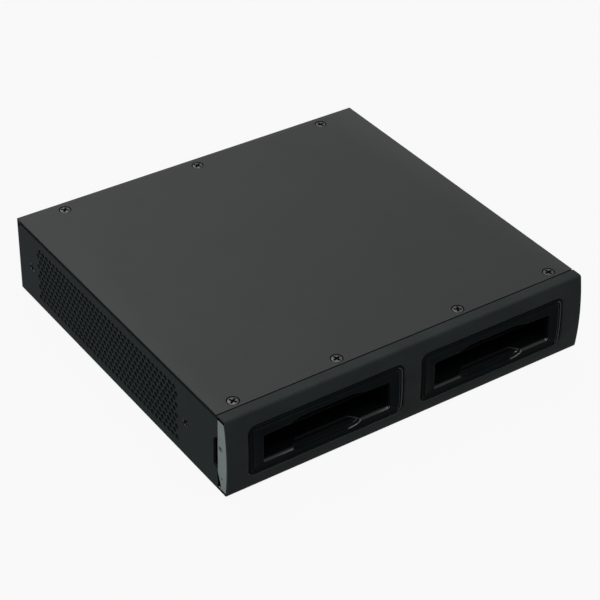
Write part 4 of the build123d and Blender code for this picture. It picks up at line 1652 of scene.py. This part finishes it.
@dataclass
class BayFrame:
    """The polished moulding in a window: bowed plate, grooved border, slot, ledge and scoop."""

    layout: Layout
    side: int
    border: float = 3.0
    clear: float = 0.15
    thick: float = 2.0
    round_edge: float = 0.95
    ledge_edge: float = 0.8
    ledge_slope: Sequence[Point2] = (
        (1.0, 0.0),
        (0.93, 0.01),
        (0.85, 0.05),
        (0.6, 0.24),
        (0.35, 0.43),
        (0.1, 0.62),
        (0.02, 0.72),
        (0.0, 1.0),
    )
    slot_half: float = 36.4
    slot_high: float = 14.7
    notch_low: float = 21.5
    notch_top: float = 15.0
    notch_up: float = 2.6
    scoop_top: float = 19.3
    scoop_low: float = 12.3
    scoop_drop: float = 2.35
    scoop_rear: float = 15.0
    scoop_depth: float = 6.4
    rim: float = 0.6
    cup_drop: float = 4.0
    cup_steps: Sequence[float] = (0.12, 0.25, 0.38, 0.52, 0.66, 0.8, 0.9, 1.0)
    outer_round: float = 0.12
    inner_round: float = 0.1
    rear_round: Span = (0.25, 0.4)
    wall_columns: int = 6
    overlap: float = 0.05
    slot_corner: float = 1.0
    notch_corner: float = 1.5
    level_step: float = 1.31
    level_count: int = 21
    rear_gap: float = 0.2
    lit_zone: float = 0.3
    scoop_edge: float = 0.45
    tunnel: Sequence[Point2] = (
        (0.0, 0.0),
        (0.7, 0.05),
        (0.7, 1.6),
        (0.35, 1.7),
        (0.35, 2.9),
        (0.7, 3.0),
        (0.7, 5.0),
        (0.45, 5.1),
        (0.45, 7.2),
        (0.7, 7.3),
        (0.7, 13.6),
        (1.35, 13.6),
    )
    bright_rows: Sequence[int] = (2, 9, 10, 11)
    bright_end: float = 1.0

    def __post_init__(self) -> None:
        """Prepares the bow and the heights that the plate is divided at."""
        lay = self.layout
        self.bay = self.side * lay.bay_x
        self.arch = Arch(lay)
        low = lay.window_z - lay.window_half[1]
        self.levels = [low + self.level_step * index for index in range(1, self.level_count + 1)]
        self.back = self.arch.face(lay.ledge) + lay.frame_inset + self.thick

    def bowed(self, run: Sequence[Point2], depth: float) -> list[Vector]:
        """Lays an outline on the bowed face.

        Args:
            run: The outline in X and Z.
            depth: How far behind the frame's face it lies.

        Returns:
            The points in space.
        """
        inset = self.layout.frame_inset
        return [Vector((x, self.arch.face(z) + inset + depth, z)) for x, z in run]

    def curve(self, sections: int = 7) -> list[Point2]:
        """Draws one end of the scoop's cross section.

        Args:
            sections: How many flats it has.

        Returns:
            The share of its width and of its depth at each point, from the ledge down.
        """
        turns = [math.pi / 2 * step / sections for step in range(1, sections + 1)]
        return [(math.cos(t), math.sin(t)) for t in turns]

    def slot(self) -> list[Point2]:
        """Draws the slot with its notch and the scoop's front end, from its lower left corner."""
        ledge = self.layout.ledge
        high = ledge + self.slot_high
        reach = self.scoop_top - self.scoop_low
        scoop = [
            (-self.scoop_low - reach * a, ledge - self.scoop_drop * b, 0.0) for a, b in self.curve()
        ]
        corners = [(-self.slot_half, ledge, self.slot_corner), (-self.scoop_top, ledge, 0.0), *scoop]
        corners += [(-x, z, radius) for x, z, radius in reversed(corners)]
        upper = [
            (self.slot_half, high, self.slot_corner),
            (self.notch_low, high, self.notch_corner),
            (self.notch_top, high + self.notch_up, self.notch_corner),
        ]
        corners += upper + [(-x, z, radius) for x, z, radius in reversed(upper)]
        return [(self.bay + x, z) for x, z in round_corners(corners)]

    def border_steps(self) -> list[Point2]:
        """Lists how far outside the plate, and how deep, each line of the grooved border is."""
        bead = [(0.1, -0.04), (0.25, -0.06), (0.4, -0.03)]
        inner = [(0.5, 0.1), (0.62, 0.3), (0.85, 0.4), (1.15, 0.4), (1.35, 0.28)]
        ridge = [(1.48, 0.12), (1.62, 0.04), (1.85, 0.02), (2.08, 0.06)]
        outer = [(2.2, 0.15), (2.35, 0.35), (2.6, 0.42), (2.88, 0.42), (self.border, 0.5)]
        return bead + inner + ridge + outer

    def rearward(self, row: Sequence[Vector]) -> list[Vector]:
        """Carries a row of points straight back to the moulding's rear."""
        return [Vector((point.x, self.layout.front - self.rear_gap, point.z)) for point in row]

    def border_rows(self, rim: Sequence[Point2], spots: Sequence[Spot]) -> list[list[Vector]]:
        """Lays the lines of the border, from the plate out to the window and then back.

        Args:
            rim: The plate's outline.
            spots: Where the lines have points.

        Returns:
            The rows of points.
        """
        rows = [self.bowed(along(rim, spots), 0.0)]
        for grow, depth in self.border_steps():
            rows.append(self.bowed(along(spread(rim, [grow] * len(rim)), spots), depth))
        return [*rows, self.rearward(rows[-1])]

    def slot_rows(
        self,
        slot: Sequence[Point2],
        cuts: Sequence[Spot],
        lit: Sequence[bool],
        amounts: Sequence[float],
    ) -> list[list[Vector]]:
        """Lays the lines of the slot's edge, its ledge and the tunnel, from the front to the back.

        Args:
            slot: The slot's outline.
            cuts: Where the lines have points.
            lit: For each point of the outline whether it is on the ledge.
            amounts: How far outside the outline the plate's front starts at each point.

        Returns:
            The rows of points.
        """
        rows = []
        for step, slope in enumerate(self.ledge_slope):
            turn = math.pi / 2 * step / (len(self.ledge_slope) - 1)
            turned = (1 - math.sin(turn), 1 - math.cos(turn))
            shares = [slope if bright else turned for bright in lit]
            grown = [amount * share[0] for amount, share in zip(amounts, shares)]
            depths = [
                (self.thick if bright else amount) * share[1]
                for bright, amount, share in zip(lit, amounts, shares)
            ]
            row = []
            for place, (index, share) in zip(along(spread(slot, grown), cuts), cuts):
                after = depths[(index + 1) % len(slot)]
                row += self.bowed([place], depths[index] * (1 - share) + after * share)
            rows.append(row)
        for number, (grow, depth) in enumerate(self.tunnel):
            lowest = self.layout.ledge - (grow if number > 1 else self.cup_drop)
            run = along(spread(slot, [grow] * len(slot)), cuts)
            rows.append([Vector((x, self.back + depth, max(z, lowest))) for x, z in run])
        return [*rows, self.rearward(rows[-1])]

    def plate(self) -> Form:
        """Makes the bowed plate with its border, its slot and the tunnel behind it."""
        lay = self.layout
        inset = self.clear + self.border
        half = [length - inset for length in lay.window_half]
        rim = soft_box((self.bay, lay.window_z), half, lay.window_corner - inset, 8)
        spots = crossings(rim, self.levels)
        slot = self.slot()
        on_ledge = self.scoop_top - TOUCH
        lit = [z < lay.ledge + self.lit_zone and abs(x - self.bay) > on_ledge for x, z in slot]
        scooped = [z < lay.ledge - TOUCH for _, z in slot]
        amounts = [
            self.ledge_edge if bright else self.round_edge * (self.scoop_edge if low else 1.0)
            for bright, low in zip(lit, scooped)
        ]
        start = spread(slot, amounts)
        cuts = crossings(start, self.levels)
        form = Form().sheet([along(rim, spots), along(start, cuts)], self.levels)
        for point in form.mesh.verts:
            point.co.y = self.arch.face(point.co.z) + lay.frame_inset

        def trim(row: int, column: int) -> int:
            """Picks the finish of a face of the border; the right-hand end of some rows gets a
            lighter, glossier finish as a painted highlight.
            """
            index = spots[column][0]
            right = min(rim[index][0], rim[(index + 1) % len(rim)][0]) - self.bay
            return int(right > half[0] - self.bright_end and row in self.bright_rows)

        def paint(row: int, column: int) -> int:
            """Picks the finish of a face inside the slot: painted shade in the tunnel, a painted
            highlight on the ledge strips and a painted glint where they end on the right.
            """
            if row >= len(self.ledge_slope):
                return 2
            index = cuts[column][0]
            after = (index + 1) % len(slot)
            across = slot[index][0] - self.bay
            ends = lit[index] != lit[after] or scooped[after] and across > self.scoop_low
            if row and across > 0 and ends:
                return 3
            return int(row > 0 and lit[index] and lit[after])

        form.skin(self.border_rows(rim, spots), paint=trim)
        form.skin(self.slot_rows(slot, cuts, lit, amounts), paint=paint)
        return form.tidy().close()

    def cup(self, form: Form) -> None:
        """Adds the cup behind the plate that the finger scoop runs back into.

        Args:
            form: The form that it is added to.
        """
        ledge = self.layout.ledge
        reach = self.scoop_top - self.scoop_low
        depth = self.scoop_depth - self.thick
        rows = []

        def row(y: float, wide: float, drop: float, sink: float = 0.0) -> None:
            """Adds one cross section, from the foot of the left wall to that of the right.

            Args:
                y: Where it lies.
                wide: Half the width inside the walls.
                drop: How far below the ledge the bowl reaches.
                sink: How far the whole section is lowered.
            """
            span = reach * drop / self.scoop_drop
            bowl = [(wide - span * (1 - a), -drop * b) for a, b in self.curve()]
            outer = wide + self.rim
            wall = [(outer, -self.cup_drop), (outer, -self.outer_round)]
            wall += [(outer - self.outer_round, 0.0), (wide + self.inner_round, 0.0)]
            wall.append((wide, -self.inner_round * min(1.0, drop)))
            left = [(-x, z) for x, z in wall + bowl]
            section = left + [(-x, z) for x, z in reversed(left)]
            heights = [ledge + max(z - sink, -self.cup_drop) for _, z in section]
            rows.append([Vector((self.bay + x, y, z)) for (x, _), z in zip(section, heights)])

        near, wide = self.back - self.overlap, self.scoop_top + self.overlap
        row(near, wide, self.scoop_drop, self.cup_drop)
        row(near, wide, self.scoop_drop + self.overlap)
        for share in self.cup_steps:
            wide = self.scoop_top + (self.scoop_rear - self.scoop_top) * share
            row(self.back + depth * share, wide, self.scoop_drop * (1 - share**1.5))
        far = self.back + depth + self.rim
        first, last = (self.scoop_rear - amount for amount in self.rear_round)
        row(far - self.outer_round, first, 0.0)
        row(far, last, 0.0, self.outer_round)
        row(far, last, 0.0, self.cup_drop)
        right_wall = len(rows[0]) - self.wall_columns

        def paint(number: int, column: int) -> int:
            """Picks the finish of a face of the cup: a painted highlight on its front rim and right
            wall, painted shade in its bowl.
            """
            if number < 2 or column >= right_wall:
                return 1
            return 0 if number > len(self.cup_steps) + 1 else 2

        form.skin(rows, closed=False, paint=paint).tidy()
        bmesh.ops.holes_fill(form.mesh, edges=form.open_edges(), sides=0)

    def build(self) -> None:
        """Makes and dresses the frame."""
        form = self.plate()
        self.cup(form)
        form.tidy()
        name = SIDES[self.side]
        piece = form.finish(f"bay_moulding_{name}")
        others = ("frame_painted_sheen", "frame_inside_painted_shade", "frame_glint")
        mount(piece, "frame_gloss", *others, stands_for=f"bay_frame_{name}")


@dataclass
class Screws:
    """A set of screws with cross recesses."""

    name: str
    finish: str
    head: Head
    length: float
    places: list[Matrix]
    stands_for: str
    radius: float = 2.8
    shank: float = 1.45
    dome: float = 1.62
    cross: Sequence[Point2] = ((2.3, 0.6), (1.5, 0.36))
    recess_depth: float = 1.3
    recess_reach: float = 2.25
    recess_span: Span = (0.03, 1.45)
    steep: float = 0.7
    margin: float = 0.1

    def profile(self) -> list[Point2]:
        """Draws half a screw, from the middle of its head to its tip."""
        rim, shank = self.radius, self.shank
        tip = [(shank, 1.9 - self.length), (1.0, 1.0 - self.length), (0.0, 1.0 - self.length)]
        if self.head is Head.COUNTERSUNK:
            head = [(0.0, -0.06), (rim - 0.4, -0.08), (rim - 0.14, -0.14), (rim, -0.28)]
            return head + [(rim - 0.02, -0.42), (shank, -1.5)] + tip
        dome = [(0.0, self.dome), (1.0, 1.58), (1.8, 1.4), (2.4, 1.0), (2.72, 0.5), (2.75, 0.0)]
        return dome + [(shank, 0.0)] + tip

    def build(self) -> None:
        """Makes one screw, cuts its recess and repeats it at each place."""
        screw = Form().turned(self.profile(), Matrix.Identity(4), 36)
        top = 0.0 if self.head is Head.COUNTERSUNK else self.dome
        floor = top - self.recess_depth
        wings = []
        for across, along in ((0, 1), (1, 0)):
            corners = []
            for half, z in zip(self.cross, (top + self.margin, floor)):
                x, y = half[across], half[along]
                corners += [Vector((i * x, k * y, z)) for i in (-1, 1) for k in (-1, 1)]
            wings.append(Form().hull(corners))
        screw.change(wings[0].change(wings[1], Change.JOIN), Change.CUT).tidy()
        # The recess's walls and floor get the near-black finish: painted shade
        upper, lower = (top - depth for depth in self.recess_span)
        for face in screw.mesh.faces:
            spot = face.calc_center_median()
            steep = face.normal.z < self.steep or spot.z < floor + self.margin
            inside = spot.xy.length < self.recess_reach and lower < spot.z < upper
            face.material_index = int(steep and inside)
        piece = screw.copies(self.places).finish(self.name, 0.07, 2)
        mount(piece, self.finish, "painted_shade_black", stands_for=self.stands_for, slot="screw_black")


def facing(point: Sequence[float], direction: Sequence[float], spin: float) -> Matrix:
    """Places a form so that its own +Z points in a direction.

    Args:
        point: Where its origin goes.
        direction: Where its +Z points.
        spin: How far it is turned about that direction.

    Returns:
        The placing matrix.
    """
    turn = Vector(direction).to_track_quat("Z", "Y").to_matrix().to_4x4()
    return Matrix.Translation(point) @ turn @ Matrix.Rotation(spin, 4, "Z")


@dataclass
class Fasteners:
    """All the screws that show."""

    layout: Layout
    seed: int = 7
    foot_x: Sequence[float] = (-92.0, -34.5, 15.0, 88.0)
    foot_up: float = 4.3

    def build(self) -> None:
        """Makes and dresses the screws."""
        lay = self.layout
        chance = random.Random(self.seed)

        def spin() -> float:
            """Draws how far a screw is turned."""
            return chance.uniform(0.0, math.pi / 2)

        cover = [facing((x, y, lay.top), (0, 0, 1), spin()) for x, y in lay.cover_screws()]
        sides = [
            facing((side * lay.half_width, y, z), (side, 0, 0), spin())
            for side in SIDES
            for y, z in lay.side_screw_places()
        ]
        foot, fan = (
            [facing((x, lay.panel_out, z), (0, 1, 0), spin()) for x, z in places]
            for places in ([(x, lay.floor + self.foot_up) for x in self.foot_x], Fan(lay).corners())
        )
        for screws in (
            Screws("cover_screws", "screw_black", Head.COUNTERSUNK, 6.0, cover, "top_cover_screws"),
            # The side screws get a darker finish than the other screws: painted shade
            Screws("side_panel_screws", "side_screw_painted_shade", Head.COUNTERSUNK, 5.0, sides, "side_screws"),
            Screws("rear_foot_screws", "screw_black", Head.PAN, 4.0, foot, "rear_panel_screws"),
            Screws("fan_corner_screws", "screw_black", Head.PAN, 8.0, fan, "fan_screws"),
        ):
            screws.build()


@dataclass
class Fan:
    """The fan behind the rear grille: a duct with struts, and a bladed rotor."""

    layout: Layout
    x: float = 45.0
    size: float = 40.0
    depth: float = 20.0
    bore: float = 19.0
    hub: float = 9.0
    tip: float = 17.4
    blades: int = 7
    stand: float = 1.25
    screw_reach: float = 16.0
    screw_hole: float = 1.75
    flange: float = 3.2
    duct_end: float = 3.0
    duct_grow: Span = (0.95, 0.06)
    motor: Span = (2.6, 0.4)
    struts: int = 4
    strut_turn: float = 20.0
    strut_half: float = 0.9
    strut: Span = (2.4, 0.6)
    hub_rear: float = 3.1
    chord: Span = (11.0, 1.3)
    lean: Span = (52.0, 18.0)
    bow: float = 0.9
    blade_t: float = 0.8
    blade_flats: tuple[int, int] = (6, 8)

    @property
    def z(self) -> float:
        """The height of the fan's axis."""
        return self.layout.floor + self.stand + self.size / 2

    def corners(self) -> list[Point2]:
        """Places of the fan's four screws."""
        reach = self.screw_reach
        return [(self.x + i * reach, self.z + k * reach) for i in (-1, 1) for k in (-1, 1)]

    def frame(self) -> None:
        """Makes the duct, its motor plate and its struts."""
        lay = self.layout
        middle = (self.x, self.z)
        outline = soft_box(middle, (self.size / 2, self.size / 2), 3.0, 6)
        holes = [circle(middle, self.bore, 64)]
        holes += [circle(corner, self.screw_hole, 12) for corner in self.corners()]
        front, back = lay.panel_in - self.depth, lay.panel_in
        form = Form()
        for span in ((front, front + self.flange), (back - self.flange, back)):
            form.plate(Plane.XZ, outline, holes, span)
        tube, bore = (circle(middle, self.bore + grow, 64) for grow in self.duct_grow)
        form.plate(Plane.XZ, tube, [bore], (front + self.duct_end, back - self.duct_end))
        motor, strut = ([back - depth for depth in span] for span in (self.motor, self.strut))
        form.plate(Plane.XZ, circle(middle, self.hub, 48), [], motor)
        for index in range(self.struts):
            turn = FULL_TURN / self.struts * index + math.radians(self.strut_turn)
            out = Vector((math.cos(turn), math.sin(turn)))
            flat = Vector((-out.y, out.x)) * self.strut_half
            near, far = out * (self.hub - 0.6), out * (self.bore + 0.5)
            corners = (near - flat, far - flat, far + flat, near + flat)
            run = [(self.x + point.x, self.z + point.y) for point in corners]
            form.plate(Plane.XZ, run, [], strut)
        shaft = facing((self.x, front + 4, self.z), (0, 1, 0), 0)
        end = self.depth - 6
        form.turned([(0, 0), (1.4, 0), (1.5, 0.2), (1.5, end), (0, end)], shaft, 16)
        mount(form.finish("fan_duct", 0.25), "fan_plastic", stands_for="fan_frame")

    def blade(self) -> Form:
        """Makes one bowed blade that leans more at its root than at its tip."""
        blade = Form()
        rows = []
        spans, chords = self.blade_flats
        root = self.hub - 0.8
        for row in range(spans + 1):
            share = row / spans
            radius = root + (self.tip - root) * share
            chord = self.chord[0] + self.chord[1] * share
            lean = math.radians(self.lean[0] - self.lean[1] * share)
            line = []
            for step in range(chords + 1):
                along = (step / chords - 0.5) * chord
                bow = self.bow * (1 - (2 * along / chord) ** 2)
                turn = (along * math.cos(lean) - bow * math.sin(lean)) / radius
                up = self.depth / 2 - 1.0 + (along * math.sin(lean) + bow * math.cos(lean))
                point = (radius * math.cos(turn), radius * math.sin(turn), up)
                line.append(blade.mesh.verts.new(point))
            rows.append([blade.mesh.edges.new(pair) for pair in zip(line, line[1:])])
        for lower, upper in zip(rows, rows[1:]):
            bmesh.ops.bridge_loops(blade.mesh, edges=lower + upper)
        bmesh.ops.recalc_face_normals(blade.mesh, faces=blade.mesh.faces)
        bmesh.ops.solidify(blade.mesh, geom=blade.mesh.faces[:], thickness=self.blade_t)
        return blade.tidy()

    def rotor(self) -> None:
        """Makes the hub with its blades."""
        back = self.depth - self.hub_rear
        hub = [(0, 1.2), (self.hub - 1.6, 1.2), (self.hub - 0.5, 1.6), (self.hub, 2.6)]
        hub += [(self.hub, back), (1.6, back), (1.6, back - 0.3), (0, back - 0.3)]
        form = Form().turned(hub, Matrix.Identity(4), 56)
        turns = [FULL_TURN / self.blades * index for index in range(self.blades)]
        blades = self.blade().copies([Matrix.Rotation(turn, 4, "Z") for turn in turns])
        form.absorb(blades.mesh)
        place = Matrix.Translation((self.x, self.layout.panel_in - self.depth, self.z))
        backwards = Matrix.Rotation(-math.pi / 2, 4, "X")
        bmesh.ops.transform(form.mesh, verts=form.mesh.verts, matrix=place @ backwards)
        piece = form.finish("fan_wheel", 0.12, 1)
        mount(piece, "fan_plastic", stands_for="fan_rotor", body="fan")

    def build(self) -> None:
        """Makes and dresses the fan."""
        self.frame()
        self.rotor()


@dataclass
class Feet:
    """Four round rubber feet with a moulded rim."""

    layout: Layout
    across: float = 88.0
    inset: float = 18.0
    radius: float = 6.0

    def build(self) -> None:
        """Makes and dresses the feet."""
        lay = self.layout
        rim, top = self.radius, lay.floor
        profile = [(0, 0.45), (rim - 2.6, 0.45), (rim - 2.2, 0.1), (rim - 1.9, 0.0)]
        profile += [(rim - 0.7, 0.0), (rim - 0.25, 0.12), (rim, 0.5), (rim, top), (0, top)]
        places = [
            Matrix.Translation((x, y, 0))
            for x in (-self.across, self.across)
            for y in (lay.front + self.inset, lay.rear - self.inset)
        ]
        feet = Form().turned(profile, Matrix.Identity(4), 40).copies(places)
        mount(feet.finish("round_feet"), "foot_rubber", stands_for="rubber_feet")


@dataclass
class SocketFittings:
    """The contacts and lamp windows in the rear sockets."""

    layout: Layout
    jacks: Point2 = (-28.0, -9.0)
    face_out: float = 0.3
    usb_x: float = -48.0
    board_top: float = 9.6
    springs: int = 8
    spring_pitch: float = 1.02
    spring_half: Point2 = (0.22, 0.15)
    spring_ends: Sequence[Point2] = ((-2.2, 10.6), (-9.5, 7.2))
    blades: int = 4
    blade_pitch: float = 2.3
    blade_half: float = 0.5
    blade_y: Span = (-9.0, -2.0)
    blade_z: Span = (3.5, 3.72)
    lamp_place: Point2 = (5.7, 12.4)
    lamp_half: Point2 = (1.5, 0.75)
    lamp_y: Span = (-1.5, 0.12)

    def contacts(self, face: float) -> Form:
        """Makes the sloped springs of the network jacks and the flat blades of the USB port.

        Args:
            face: Where the sockets' faces are, along Y.

        Returns:
            The form.
        """
        form = Form()
        half, thick = self.spring_half
        for jack in self.jacks:
            for index in range(self.springs):
                x = jack + (index - (self.springs - 1) / 2) * self.spring_pitch
                form.hull(
                    Vector((x + side * half, face + y, self.board_top + z + rise))
                    for side in (-1, 1)
                    for y, z in self.spring_ends
                    for rise in (-thick, thick)
                )
        y = [face + end for end in self.blade_y]
        z = [self.board_top + end for end in self.blade_z]
        for index in range(self.blades):
            x = self.usb_x + (index - (self.blades - 1) / 2) * self.blade_pitch
            form.block((x - self.blade_half, x + self.blade_half), y, z)
        return form

    def build(self) -> None:
        """Makes and dresses the fittings."""
        face = self.layout.panel_out + self.face_out
        contacts = self.contacts(face).finish("socket_contacts")
        mount(contacts, "contact_gold", slot="shell_steel")
        across, up = self.lamp_place
        span = [face + end for end in self.lamp_y]
        for colour, side in (("amber", -1), ("green", 1)):
            lens = Form()
            for jack in self.jacks:
                middle = (jack + side * across, self.board_top + up)
                lens.plate(Plane.XZ, soft_box(middle, self.lamp_half, 0.3, 3), [], span)
            piece = lens.finish(f"lamp_windows_{colour}", 0.1)
            mount(piece, f"lens_{colour}", slot="connector_plastic")


# The frame's own solids that stay in view: the finish of each, and how wide its edges are rounded
KEPT = {
    "base_pan": ("housing_paint", 0.0),
    "rear_panel": ("housing_paint", 0.0),
    "drive_guide_right": ("cage_plastic", 0.25),
    "drive_guide_left": ("cage_plastic", 0.25),
    "drive_connector_right": ("connector_plastic", 0.15),
    "drive_connector_left": ("connector_plastic", 0.15),
    "drive_backplane": ("board_laminate", 0.0),
    "main_board": ("board_laminate", 0.0),
    "board_link": ("connector_plastic", 0.2),
    "board_standoffs": ("zinc_steel", 0.15),
    "board_screws": ("zinc_steel", 0.12),
    "bezel_screws": ("zinc_steel", 0.12),
    "guide_screws": ("zinc_steel", 0.12),
    "processor": ("chip_black", 0.2),
    "memory_chips": ("chip_black", 0.12),
    "heat_sink": ("sink_aluminium", 0.15),
    "capacitors": ("can_aluminium", 0.3),
    "cell_holder": ("connector_plastic", 0.2),
    "coin_cell": ("cell_steel", 0.25),
    "network_jack_1": ("shell_steel", 0.2),
    "network_jack_2": ("shell_steel", 0.2),
    "usb_port": ("shell_steel", 0.12),
    "power_inlet": ("connector_plastic", 0.2),
    "power_switch_housing": ("connector_plastic", 0.25),
    "power_rocker": ("rocker_plastic", 0.3),
    "reset_switch_housing": ("connector_plastic", 0.2),
    "reset_plunger": ("plunger_plastic", 0.15),
}


def dress_frame(nodes: dict[str, bpy.types.Object]) -> None:
    """Dresses the frame's own solids that stay in view.

    Args:
        nodes: The frame's objects by name.
    """
    for name, (finish, edge) in KEPT.items():
        dress(nodes[name], finish)
        if edge:
            soften(nodes[name], edge, 2, weld=True)
        log.info("%s: kept, %s", name, finish)


@dataclass
class Studio:
    """The floor, the lamps, the background and the camera."""

    floor_half: float = 3000.0
    floor_up: float = -0.05
    floor_white: float = 0.93
    floor_blotch: float = 6.0
    floor_tones: Sequence[Colour] = ((0.2, 0.2, 0.2), (0.22, 0.22, 0.22))
    world_light: float = 0.28
    white: Sequence[float] = (1.0, 1.0, 1.0, 1.0)
    azimuth: float = -35.415
    elevation: float = 35.771
    roll: float = 1.460
    place: Sequence[float] = (-465.39, -659.69, 594.09)
    lens: float = 113.54
    sensor: float = 36.0
    clip: Span = (0.05, 20.0)
    lamps: Sequence[tuple[str, Sequence[float], float, float]] = (
        ("rear_box", (0.1, 1.0, 1.4), 1.4, 13.0),
        ("front_box", (0.25, -0.6, 1.2), 0.6, 3.2),
        ("key_box", (-0.14, -0.52, 1.19), 0.2, 2.2),
        ("side_box", (-1.1, -0.2, 0.9), 0.8, 5.0),
    )

    def floor(self) -> None:
        """Makes the pale floor, which keeps the dock's shadow."""
        size = self.floor_half
        form = Form()
        corners = [
            form.mesh.verts.new((x * size, y * size, self.floor_up))
            for x, y in ((-1, -1), (1, -1), (1, 1), (-1, 1))
        ]
        form.mesh.faces.new(corners)
        floor = form.finish("floor")
        material = bpy.data.materials.new("pale_floor")
        graph = Graph(material)
        tone = graph.mix(graph.noise(self.floor_blotch, 3.0), *self.floor_tones)
        matt = graph.add("BsdfDiffuse", {}, {"Color": tone})
        white = graph.add("Emission", {}, {"Color": self.white, "Strength": 1.0})
        share = graph.seen() * self.floor_white
        graph.end(graph.add("MixShader", {}, {0: share, 1: matt, 2: white}))
        floor.data.materials.append(material)
        floor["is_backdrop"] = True

    def world(self) -> None:
        """Makes the even white surroundings."""
        world = bpy.data.worlds.new("studio")
        bpy.context.scene.world = world
        graph = Graph(world)
        strength = graph.seen() * (1 - self.world_light) + self.world_light
        light = graph.add("Background", {}, {"Color": self.white, "Strength": strength})
        graph.end(light, "World")

    def lamp(self, name: str, place: Sequence[float], size: float, power: float) -> None:
        """Hangs one soft lamp that faces the dock.

        Args:
            name: The lamp's name.
            place: Where it hangs, in metres.
            size: How wide it is, in metres.
            power: Its power in watts.
        """
        data = bpy.data.lights.new(name, "AREA")
        data.shape = "DISK"
        data.size = size
        data.energy = power
        lamp = bpy.data.objects.new(name, data)
        lamp.location = place
        lamp.rotation_mode = "QUATERNION"
        lamp.rotation_quaternion = (-Vector(place)).to_track_quat("-Z", "Y")
        bpy.context.scene.collection.objects.link(lamp)

    def camera(self) -> None:
        """Sets the camera where the photograph was taken from."""
        data = bpy.data.cameras.new("camera")
        data.lens = self.lens
        data.sensor_width = self.sensor
        data.clip_start, data.clip_end = self.clip
        camera = bpy.data.objects.new("camera", data)
        turn, rise, roll = (math.radians(v) for v in (self.azimuth, self.elevation, self.roll))
        back = Vector(
            (math.sin(turn) * math.cos(rise), -math.cos(turn) * math.cos(rise), math.sin(rise))
        )
        right = (-back).cross(Vector((0, 0, 1))).normalized()
        up = right.cross(-back)
        level = right * math.cos(roll) + up * math.sin(roll)
        upright = -right * math.sin(roll) + up * math.cos(roll)
        basis = Matrix((level, upright, back)).transposed().to_4x4()
        camera.matrix_world = Matrix.Translation(Vector(self.place) * MM) @ basis
        bpy.context.scene.collection.objects.link(camera)
        bpy.context.scene.camera = camera

    def build(self) -> None:
        """Sets the stage."""
        self.floor()
        self.world()
        for name, place, size, power in self.lamps:
            self.lamp(name, place, size, power)
        self.camera()
        bpy.context.scene.view_settings.view_transform = "Standard"


def corners() -> list[list[float]]:
    """Reads the object's lowest and highest corners as plain lists."""
    return [list(corner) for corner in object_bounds()]


def main() -> None:
    """Builds the dressed dock piece by piece."""
    logging.basicConfig(level=logging.INFO, format="%(name)s: %(message)s")
    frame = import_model()
    layout = Layout.read()
    dress_frame(frame["nodes"])
    TopCover(layout).build()
    SidePanel(layout, -1, vented=True).build()
    SidePanel(layout, 1, vented=False).build()
    FrontBezel(layout).build()
    for side in SIDES:
        EndCap(layout, side).build()
        BayFrame(layout, side).build()
    for part in (Fan, Fasteners, Feet, SocketFittings):
        part(layout).build()
    Studio().build()


if __name__ == "__main__":
    main()
